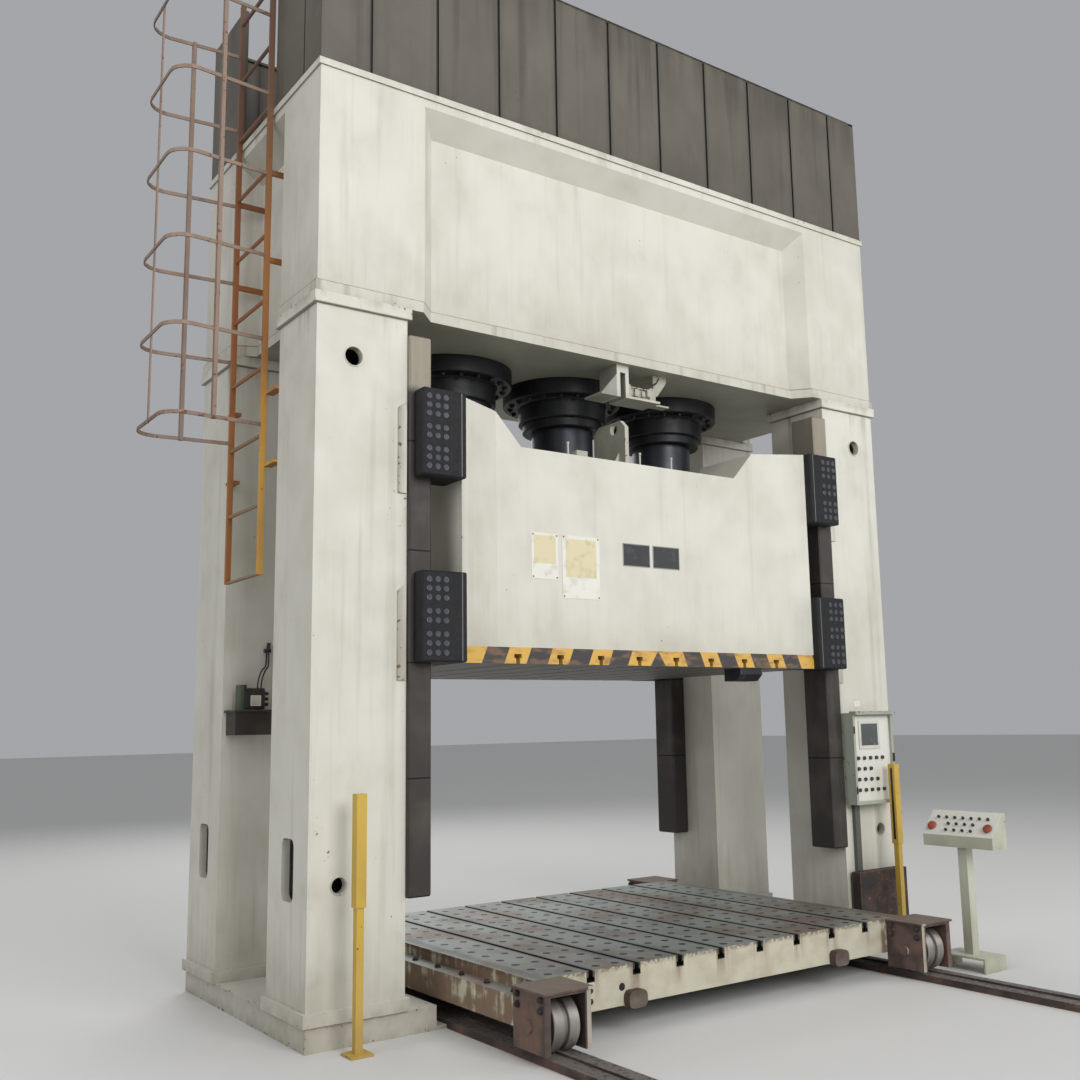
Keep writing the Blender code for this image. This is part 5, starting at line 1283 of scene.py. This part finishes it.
@dataclass
class SlideBody(Assembly):
    """The slide, its plates and its small fittings."""

    body: str = "slide"
    face: float = -0.82
    top: float = 3.267
    sign_boxes: tuple[tuple[str, float, float, float, float], ...] = (
        ("sign_plate_small", -0.83, -0.63, 2.46, 2.745),
        ("sign_plate_large", -0.60, -0.31, 2.35, 2.745),
    )
    name_boxes: tuple[tuple[str, float, float, float, float], ...] = (
        ("data_plate_left", -0.12, 0.105, 2.58, 2.73),
        ("data_plate_right", 0.13, 0.36, 2.58, 2.73),
    )
    thickness: float = 0.003
    rivet_inset: float = 0.012
    gusset: tuple[Span, ...] = ((-0.0605, 0), (-0.0605, 0.085), (-0.108, 0))
    gusset_ys: Span = (-0.735, -0.723)
    post: tuple[Span, ...] = (
        (0, 0), (0.011, 0), (0.011, 0.012), (0.006, 0.016),
        (0.006, 0.08), (0.009, 0.082), (0.009, 0.094), (0, 0.098),
    )
    post_xs: tuple[float, ...] = (-0.50, 0.09, 0.365)
    post_y: float = -0.765
    junction_xs: Span = (-0.45, -0.36)
    junction_ys: Span = (-0.79, -0.74)
    junction_height: float = 0.045

    def build(self) -> None:
        """Dresses the slide and adds its plates and its small fittings."""
        self.dress(HazardEnamel("slide_enamel", streaks=0.22, chips=0.3, grime=0.4, seed=20.0), "slide")
        self.dress(SideGreyEnamel("lug_enamel", chips=0.6, seed=23.0), "lock_lug")
        self.dress(OilyIron("clamp_iron"), "die_clamp")
        dark = Plate(
            "data_print",
            ground=srgb(140, 140, 138),
            panel=srgb(32, 33, 37),
            soil=srgb(96, 94, 90),
            field_shares=(0.03, 0.97, 0.045, 0.955),
        )
        proud = self.face - self.thickness
        seats: list[Seat] = []
        for boxes, finish, slot in (
            (self.sign_boxes, Plate("sign_print"), "cream_paint"),
            (self.name_boxes, dark, "dark_screen"),
        ):
            for name, left, right, foot, head in boxes:
                sign = slab(name, (left, proud, foot), (right, self.face, head), round_off=0.001)
                self.add(sign, finish, slot)
                xs = (left + self.rivet_inset, right - self.rivet_inset)
                zs = (foot + self.rivet_inset, head - self.rivet_inset)
                seats += [((x, proud, z), (0, -1, 0)) for x in xs for z in zs]
        rivets = Fastener.cap_screw(radius=0.005, height=0.003).spread("plate_rivets", seats)
        self.add(rivets, SCREW_STEEL, "oiled_steel")
        self.fittings()

    def fittings(self) -> None:
        """The lug's foot gusset, and the grease posts and junction box on the slide's top."""
        gusset = plate("lug_gusset", [(x, self.top + rise) for x, rise in self.gusset], *self.gusset_ys)
        self.add(gusset, Enamel("gusset_enamel", seed=24.0), "cream_paint")
        posts = [turned("post", self.post, (x, self.post_y, self.top), sides=20) for x in self.post_xs]
        self.add(merge("grease_posts", posts), Enamel("post_enamel", seed=25.0), "cream_paint")
        low, high = zip(self.junction_xs, self.junction_ys, (self.top, self.top + self.junction_height))
        box = slab("junction_box", low, high, round_off=0.004)
        self.add(box, Enamel("junction_enamel", colour=srgb(176, 176, 166), seed=27.0), "grey_green_paint")


@dataclass
class Cylinders(Assembly):
    """The main cylinders under the crown and their rams."""

    centres: tuple[float, ...] = (-0.93, 0.0, 0.93)
    gland_radius: float = 0.285
    radius: float = 0.313
    hidden_radius: float = 0.310
    bore: float = 0.2203
    foot: float = 3.64
    top: float = 5.20
    flange_radius: float = 0.4235
    flange_foot: float = 3.8347
    flange_top: float = 3.9447
    ram_radius: float = 0.22
    ram_foot: float = 3.2623
    ram_top: float = 4.86
    ram_flange_radius: float = 0.27
    ram_flange_height: float = 0.055
    bolt_circle: float = 0.372
    bolts: int = 20

    def build(self) -> None:
        """Turns the cylinders and the rams, and bolts the flanges up."""
        iron = OilyIron(
            "cylinder_iron",
            colour=srgb(24, 25, 28),
            dust=srgb(42, 43, 46),
            bright=srgb(58, 58, 60),
            roughness=0.3,
        )
        # Painted reflection: the chrome rams are coloured dark grey for the dark surroundings that they
        # reflect.
        chrome_painted_dark = Polished(
            "ram_steel", colour=srgb(58, 60, 66), dull=srgb(38, 38, 42), roughness=0.3, metallic=0.7
        )
        bolt = Fastener.hex_bolt(radius=0.018, height=0.016)
        for index, x in enumerate(self.centres, 1):
            body = turned(f"cylinder_body_{index}", self.body_profile(), (x, 0, 0))
            self.add(body, iron, "black_paint")
            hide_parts(f"main_cylinder_{index}")
            ram = turned(f"ram_body_{index}", self.ram_profile(), (x, 0, 0))
            self.add(ram, chrome_painted_dark, "ram_chrome", "slide")
            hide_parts(f"ram_{index}")
            self.add(bolt.spread(f"main_cylinder_{index}_bolts", self.bolt_seats(x)), iron, "oiled_steel")

    def bolt_seats(self, centre: float) -> list[Seat]:
        """Where the bolts sit under one cylinder's flange."""
        seats = []
        for step in range(self.bolts):
            angle = step / self.bolts * TURN
            x, y = centre + self.bolt_circle * math.cos(angle), self.bolt_circle * math.sin(angle)
            seats.append(((x, y, self.flange_foot), (0, 0, -1)))
        return seats

    def body_profile(self) -> list[Span]:
        """The cylinder's section: gland, barrel, flange and the part inside the crown."""
        gland_top = self.foot + 0.06
        return [
            (self.bore, self.foot),
            (self.gland_radius - 0.006, self.foot),
            (self.gland_radius, self.foot + 0.006),
            (self.gland_radius, gland_top),
            (self.radius - 0.008, gland_top),
            (self.radius, self.foot + 0.068),
            (self.radius, self.flange_foot - 0.012),
            (self.radius + 0.012, self.flange_foot),
            (self.flange_radius - 0.006, self.flange_foot),
            (self.flange_radius, self.flange_foot + 0.006),
            (self.flange_radius, self.flange_top),
            (self.hidden_radius, self.flange_top),
            (self.hidden_radius, self.top),
            (self.bore, self.top),
            (self.bore, self.foot),
        ]

    def ram_profile(self) -> list[Span]:
        """The ram's section, with its foot flange."""
        flange = self.ram_foot + self.ram_flange_height
        return [
            (0, self.ram_foot),
            (self.ram_flange_radius, self.ram_foot),
            (self.ram_flange_radius, flange - 0.004),
            (self.ram_flange_radius - 0.004, flange),
            (self.ram_radius, flange),
            (self.ram_radius, self.ram_top - 0.01),
            (self.ram_radius - 0.01, self.ram_top),
            (0, self.ram_top),
        ]


@dataclass
class SafetyLock(Assembly):
    """The lock that pins the slide at its top position."""

    soffit: float = 3.9445
    gap: float = 0.0006
    web_ys: Span = (-0.705, -0.693)
    gusset: tuple[Span, ...] = (
        (0.0006, 3.80), (0.035, 3.80), (0.12, 3.9095), (0.12, 3.9445), (0.0006, 3.9445),
    )
    valves: tuple[tuple[float, ...], ...] = (
        (0.086, 0.118, 3.762, 3.812, 0.012),
        (0.150, 0.176, 3.768, 3.806, 0.009),
        (0.192, 0.214, 3.772, 3.824, 0.014),
    )
    valve_depth: float = 0.006
    bar_parts: tuple[tuple[str, float, Span, Span], ...] = (
        ("strip", 0.13, (-0.715, -0.645), (3.727, 3.739)),
        ("stem", 0.014, (-0.705, -0.693), (3.738, 3.802)),
    )
    wire_xs: tuple[float, ...] = (0.102, 0.163, 0.203)
    wire_radius: float = 0.0028

    def build(self) -> None:
        """Dresses the lock and adds its valve blocks, end gusset, end bar and wires."""
        pale = Enamel(
            "lock_enamel", colour=srgb(190, 190, 175), shade=srgb(158, 160, 146), streaks=0.2, seed=26.0
        )
        bracket = SideGreyEnamel(
            "bracket_enamel", film=srgb(112, 114, 104), share=0.95, grey_left=-0.097, streaks=0.2, seed=28.0
        )
        self.dress(bracket, "lock_bracket")
        self.dress(pale, "lock_actuator")
        self.dress(Polished("pin_steel"), "lock_pin")
        low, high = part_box("lock_actuator")
        front, end = low.y, high.x
        back = front + self.valve_depth
        valves = [
            slab("valve", (left, front - proud, foot), (right, back, head), round_off=0.003)
            for left, right, foot, head, proud in self.valves
        ]
        self.add(merge("lock_valve_blocks", valves), pale, "grey_green_paint")
        outline = [(end + run, z) for run, z in self.gusset]
        self.add(plate("lock_end_gusset", outline, *self.web_ys), pale, "grey_green_paint")
        start = end + self.gap
        bar = [
            slab(name, (start, near, foot), (end + reach, far, head), round_off=0.002)
            for name, reach, (near, far), (foot, head) in self.bar_parts
        ]
        self.add(merge("lock_end_bar", bar), pale, "grey_green_paint")
        self.wires(front, end)

    def wires(self, front: float, end: float) -> None:
        """The thin wires from the valves up to the crown."""
        strands = []
        for index, x in enumerate(self.wire_xs):
            points = [
                (x, front - 0.006, 3.808),
                (x, front - 0.012, 3.84),
                (x + 0.03 + 0.01 * index, front - 0.02, 3.862),
                (end + 0.02, front + 0.004 * index, 3.87 + 0.008 * index),
                (end + 0.06, front + 0.03, self.soffit - 0.002),
            ]
            strands.append(pipe(f"wire_{index}", points, self.wire_radius))
        rubber = Moulded("wire_rubber", colour=srgb(34, 34, 36))
        self.add(merge("lock_wires", strands), rubber, "black_paint")


@dataclass
class Bolster(Assembly):
    """The rolling bolster, its wheel boxes and its wheels."""

    body: str = "bolster"
    axle_height: float = 0.1703
    ledge_height: float = 0.282
    ledge_bolts: int = 9
    bolt_inset: Span = (0.05, 0.15)
    box_rises: Span = (0.2, 0.25)
    box_shares: Span = (0.15, 0.85)
    cheek_step: float = 0.012
    half_wheel: tuple[Span, ...] = (
        (0.0306, 0.087), (0.053, 0.087), (0.055, 0.085), (0.055, 0.060), (0.098, 0.060),
        (0.100, 0.062), (0.100, 0.075), (0.126, 0.075), (0.130, 0.071), (0.130, 0.018),
        (0.127, 0.015), (0.112, 0.015),
    )

    def build(self) -> None:
        """Dresses the bolster and its boxes, turns its wheels and adds the bolts."""
        self.dress(BolsterSteel("bolster_steel"), "bolster")
        boxes = self.named("wheel_box_")
        self.dress(BoxIron("box_rust", colour=srgb(106, 87, 79), dark=srgb(66, 55, 51), seed=3.0), *boxes)
        for name in self.named("wheel_"):
            if name not in boxes:
                self.wheel(name)
        bolt = Fastener.hex_bolt(radius=0.014, height=0.016)
        self.add(bolt.spread("ledge_bolts", self.ledge_seats()), SCREW_STEEL, "oiled_steel")
        seats = [seat for name in boxes for seat in self.box_seats(name)]
        self.add(bolt.spread("wheel_box_bolts", seats), SCREW_STEEL, "oiled_steel")

    def ledge_seats(self) -> list[Seat]:
        """Where the bolts sit in a row on each of the bolster's ledges."""
        low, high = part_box("bolster")
        across, along = self.bolt_inset
        run = high.y - low.y - 2 * along
        ys = [low.y + along + run * index / (self.ledge_bolts - 1) for index in range(self.ledge_bolts)]
        return [((x, y, self.ledge_height), (0, 0, 1)) for x in (low.x + across, high.x - across) for y in ys]

    def box_seats(self, name: str) -> list[Seat]:
        """Where the bolts sit on the two cheeks of a wheel box."""
        low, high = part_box(name)
        outer = 1 if low.x > 0 else -1
        seats = []
        for x, way in ((low.x, -1), (high.x, 1)):
            seat = x - way * self.cheek_step if way == outer else x
            for z in (low.z + rise for rise in self.box_rises):
                for y in (low.y + (high.y - low.y) * share for share in self.box_shares):
                    seats.append(((seat, y, z), (way, 0, 0)))
        return seats

    def wheel(self, name: str) -> None:
        """Turns one wheel with its twin treads, in place of the solid's facets."""
        low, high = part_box(name)
        centre = ((low.x + high.x) / 2, (low.y + high.y) / 2, self.axle_height)
        mirrored = [(radius, -along) for radius, along in reversed(self.half_wheel)]
        profile = [*self.half_wheel, *mirrored, self.half_wheel[0]]
        body = turned(f"{name}_body", profile, centre, axis="X")
        tread = OilyIron(
            "tread_steel",
            colour=srgb(160, 156, 150),
            dust=srgb(112, 102, 96),
            bright=srgb(190, 186, 180),
            metallic=0.8,
            roughness=0.24,
        )
        self.add(body, tread, "ground_steel", name)
        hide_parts(name)


@dataclass
class FloorRails(Assembly):
    """The rails in the floor."""

    def build(self) -> None:
        """Dresses the rails, with a bright running top."""
        self.dress(RustyIron("rail_rust", polished_top=0.04, seed=8.0), "floor_rail_left", "floor_rail_right")


@dataclass
class Access(Assembly):
    """The ladder and its cage."""

    def build(self) -> None:
        """Dresses the ladder and its cage."""
        paint = LadderEnamel(
            "ladder_enamel",
            colour=srgb(206, 158, 68),
            shade=srgb(182, 130, 56),
            stain=srgb(104, 74, 50),
            rust=srgb(84, 54, 40),
            # Painted shade for the undersides.
            soffit=srgb(120, 86, 52),
            streaks=0.6,
            chips=1.4,
            grime=0.2,
            seed=30.0,
        )
        self.dress(paint, "ladder")
        cage = Enamel(
            "cage_enamel",
            colour=srgb(150, 128, 112),
            shade=srgb(126, 100, 84),
            stain=srgb(84, 66, 56),
            rust=srgb(108, 66, 44),
            # Painted shade for the undersides.
            soffit=srgb(96, 80, 70),
            streaks=0.6,
            chips=1.6,
            grime=0.3,
            seed=32.0,
        )
        self.dress(cage, "ladder_cage")


@dataclass
class Lubricator(Assembly):
    """The grease pump on the rear left column."""

    front: float = 0.2797
    top: float = 1.835
    label: tuple[float, float, float, float] = (-2.150, -2.085, 1.728, 1.792)
    label_thickness: float = 0.0015
    clip: tuple[float, float, float] = (-2.01, 0.392, 2.07)
    clip_reach: tuple[float, float, float] = (0.022, 0.014, 0.012)
    clip_back: float = 0.0077
    line_radius: float = 0.005

    def build(self) -> None:
        """Dresses the pump and adds its blank label, its lines and their clip."""
        tank = OilyIron(
            "tank_iron", colour=srgb(54, 47, 42), dust=srgb(92, 80, 68), metallic=0.2, roughness=0.3
        )
        self.dress(tank, "lube_tank")
        pump = BarrelIron(
            "pump_iron", colour=srgb(46, 43, 40), dust=srgb(92, 82, 70), metallic=0.2, roughness=0.45
        )
        self.dress(pump, "lube_pump")
        left, right, foot, head = self.label
        proud = self.front - self.label_thickness
        patch = slab("pump_label", (left, proud, foot), (right, self.front, head), round_off=0.0005)
        blank = Plate("label_print", panel=srgb(206, 202, 188), field_shares=(0.08, 0.92, 0.08, 0.92))
        self.add(patch, blank, "cream_paint")
        lines = [pipe(f"line_{index}", self.course(index), self.line_radius) for index in range(2)]
        rubber = Moulded("line_rubber", colour=srgb(30, 30, 31))
        self.add(merge("grease_lines", lines), rubber, "black_paint")
        x, y, z = self.clip
        wide, deep, tall = self.clip_reach
        low, high = (x - wide, y - deep, z - tall), (x + wide, y + self.clip_back, z + tall)
        self.add(slab("line_clip", low, high, round_off=0.003), OilyIron("oily_iron"), "black_paint")

    def course(self, index: int) -> list[Point]:
        """The points that one line follows from the pump's top through the clip."""
        x, y, z = self.clip
        start = -2.09 + 0.022 * index
        aside = 0.012 * index
        return [
            (start, 0.33, self.top - 0.004),
            (start, 0.33, self.top + 0.05),
            (start + 0.03, 0.335, self.top + 0.12),
            (x - 0.012 + 0.016 * index, y - 0.02, z - 0.10),
            (x - 0.006 + aside, y - 0.004, z),
            (x + 0.004 + aside, y - 0.004, z + 0.05),
        ]


@dataclass
class LightCurtains(Assembly):
    """The light curtains on their posts."""

    post_x: float = 2.08
    half_post: float = 0.0275
    window_xs: Span = (0.0038, 0.0005)
    window_ys: Span = (-1.1095, -1.0905)
    window_zs: Span = (0.731, 1.224)

    def build(self) -> None:
        """Dresses the curtains and adds their windows."""
        yellow = Enamel(
            "curtain_enamel",
            colour=srgb(200, 166, 68),
            shade=srgb(176, 142, 56),
            streaks=0.4,
            chips=0.8,
            grime=0.6,
            seed=34.0,
        )
        self.dress(yellow, "light_curtain_left", "light_curtain_right")
        dark = Moulded("dark_window", colour=srgb(26, 22, 24), roughness=0.12, dirt=0.1)
        for side in Sides:
            inner = side.value * self.post_x - side.value * self.half_post
            xs = sorted(inner + side.value * reach for reach in self.window_xs)
            low, high = zip(xs, self.window_ys, self.window_zs)
            window = slab(f"curtain_window_{side.name.lower()}", low, high, round_off=0.0005)
            self.add(window, dark, "dark_screen")


@dataclass
class ControlBox(Assembly):
    """The control box on the right front column."""

    face: float = -1.0353
    column_face: float = -0.925
    sign_xs: Span = (1.90, 1.965)
    sign_zs: Span = (1.665, 1.705)
    sign_thickness: float = 0.003
    latch_xs: Span = (2.162, 2.176)
    latch_reaches: Span = (0.012, 0.0003)
    latch_zs: Span = (1.27, 1.33)
    hinge_x: float = 1.757
    hinge_reach: float = 0.004
    hinge_zs: Span = (1.08, 1.50)

    def build(self) -> None:
        """Dresses the box and adds its latch, its hinges and the blank plate above it."""
        paint = PanelEnamel(
            "box_enamel",
            colour=srgb(166, 171, 157),
            shade=srgb(146, 151, 137),
            # Painted shade for the undersides.
            soffit=srgb(110, 114, 102),
            streaks=0.3,
            chips=0.9,
            seed=38.0,
        )
        self.dress(paint, "control_box")
        glass = Plate(
            "screen_glass",
            ground=srgb(206, 205, 195),
            panel=srgb(78, 82, 82),
            soil=srgb(110, 110, 104),
            field_shares=(0.10, 0.90, 0.12, 0.90),
            roughness=0.14,
        )
        self.dress(glass, "control_screen")
        block = RustyIron("block_rust", dark=srgb(44, 38, 36), colour=srgb(70, 58, 52), seed=12.0)
        self.dress(block, "foot_block")
        sign_ys = (self.column_face - self.sign_thickness, self.column_face)
        low, high = zip(self.sign_xs, sign_ys, self.sign_zs)
        sign = slab("column_plate", low, high, round_off=0.0008)
        blank = Plate("column_plate_print", panel=srgb(226, 225, 216), field_shares=(0.06, 0.94, 0.1, 0.9))
        self.add(sign, blank, "cream_paint")
        latch_ys = (self.face - reach for reach in self.latch_reaches)
        low, high = zip(self.latch_xs, latch_ys, self.latch_zs)
        latch = slab("latch", low, high, round_off=0.003)
        y = self.face - self.hinge_reach
        hinges = [
            drum("hinge", (self.hinge_x, y, z), radius=0.005, depth=0.05, sides=12, round_off=0.001)
            for z in self.hinge_zs
        ]
        self.add(merge("box_hardware", [latch, *hinges]), SCREW_STEEL, "oiled_steel")


@dataclass
class Console(Assembly):
    """The two-hand console on its stand."""

    colour: Colour = srgb(196, 198, 180)
    shade: Colour = srgb(178, 180, 160)

    def build(self) -> None:
        """Dresses the console and its palm buttons."""
        tones = {"colour": self.colour, "shade": self.shade}
        desk = DeskEnamel("desk_enamel", **tones, streaks=0.3, chips=0.6, seed=42.0)
        self.dress(desk, "console_desk")
        stand = Enamel("stand_enamel", **tones, streaks=0.4, chips=0.9, grime=0.8, seed=44.0)
        self.dress(stand, "console_stand")
        palm = Moulded("palm_red", colour=srgb(160, 76, 52), dirt=0.4)
        self.dress(palm, "palm_button_left", "palm_button_right")


@dataclass
class Studio:
    """The floor, the lamps and the camera."""

    lens: float = 38.33
    shift: float = -0.0352
    eye: tuple[float, float, float] = (-4.682, -6.568, 1.584)
    yaw: float = 0.6318
    pitch: float = 0.1583
    roll: float = -0.0198
    sensor_width: float = 36
    far_end: float = 200
    floor_size: float = 160
    floor_height: float = -0.0005
    floor_colour: Colour = srgb(214, 213, 210)
    sky_colour: Colour = srgb(224, 226, 230)
    sky_strength: float = 0.5
    aim: tuple[float, float, float] = (0, 0, 2.5)
    lamps: tuple[tuple[str, tuple[float, float, float], float, float], ...] = (
        ("key_lamp", (-1.0, -14.0, 7.5), 7.0, 1170),
        ("left_lamp", (-10.0, -3.0, 6.0), 6.0, 230),
        ("fill_lamp", (8.0, -8.0, 5.0), 6.0, 200),
        ("rear_lamp", (2.0, 9.0, 9.0), 7.0, 500),
    )

    def build(self) -> None:
        """Sets the stage."""
        self.lay_floor()
        self.light()
        self.place_camera()
        bpy.context.scene.view_settings.view_transform = "Standard"

    def lay_floor(self) -> None:
        """A wide pale floor."""
        clear_selection()
        bpy.ops.mesh.primitive_plane_add(size=self.floor_size, location=(0, 0, self.floor_height))
        plane = bpy.context.active_object
        plane.name = "studio_floor"
        shader = Shader("studio_floor", Vector(), Vector())
        shader.colour = self.floor_colour
        shader.close(roughness=0.9)
        plane.data.materials.append(shader.material)

    def light(self) -> None:
        """A pale world and four large soft lamps."""
        world = bpy.data.worlds.new("studio_world")
        world.use_nodes = True
        background = world.node_tree.nodes["Background"]
        background.inputs["Color"].default_value = (*self.sky_colour, 1)
        background.inputs["Strength"].default_value = self.sky_strength
        bpy.context.scene.world = world
        for name, place, size, power in self.lamps:
            lamp = bpy.data.lights.new(name, "AREA")
            lamp.size = size
            lamp.energy = power
            obj = bpy.data.objects.new(name, lamp)
            bpy.context.scene.collection.objects.link(obj)
            obj.location = place
            way = Vector(self.aim) - Vector(place)
            obj.rotation_euler = way.to_track_quat("-Z", "Y").to_euler()

    def place_camera(self) -> None:
        """The camera that was solved from the photograph's straight edges."""
        data = bpy.data.cameras.new("camera")
        data.sensor_width = self.sensor_width
        data.lens = self.lens
        data.shift_x = self.shift
        data.clip_end = self.far_end
        camera = bpy.data.objects.new("camera", data)
        bpy.context.scene.collection.objects.link(camera)
        sin_yaw, cos_yaw = math.sin(self.yaw), math.cos(self.yaw)
        sin_pitch, cos_pitch = math.sin(self.pitch), math.cos(self.pitch)
        right = Vector((cos_yaw, -sin_yaw, 0))
        ahead = Vector((sin_yaw * cos_pitch, cos_yaw * cos_pitch, sin_pitch))
        above = right.cross(ahead)
        across = math.cos(self.roll) * right + math.sin(self.roll) * above
        upright = -math.sin(self.roll) * right + math.cos(self.roll) * above
        turn = Matrix((across, upright, -ahead)).transposed().to_4x4()
        camera.matrix_world = Matrix.Translation(self.eye) @ turn
        bpy.context.scene.camera = camera


def main() -> None:
    """Builds every assembly in order, then the studio."""
    logging.basicConfig(level=logging.INFO, format="%(name)s: %(message)s")
    for obj in list(bpy.data.objects):
        bpy.data.objects.remove(obj, do_unlink=True)
    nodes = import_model()["nodes"]
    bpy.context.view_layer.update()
    for assembly in (
        MainFrame,
        Guard,
        Guides,
        SlideBody,
        Cylinders,
        SafetyLock,
        Bolster,
        FloorRails,
        Access,
        Lubricator,
        LightCurtains,
        ControlBox,
        Console,
    ):
        made = assembly(nodes)
        made.build()
        LOG.info("%s: %d pieces", assembly.__name__, len(made.made))
    Studio().build()
    clear_selection()


if __name__ == "__main__":
    main()
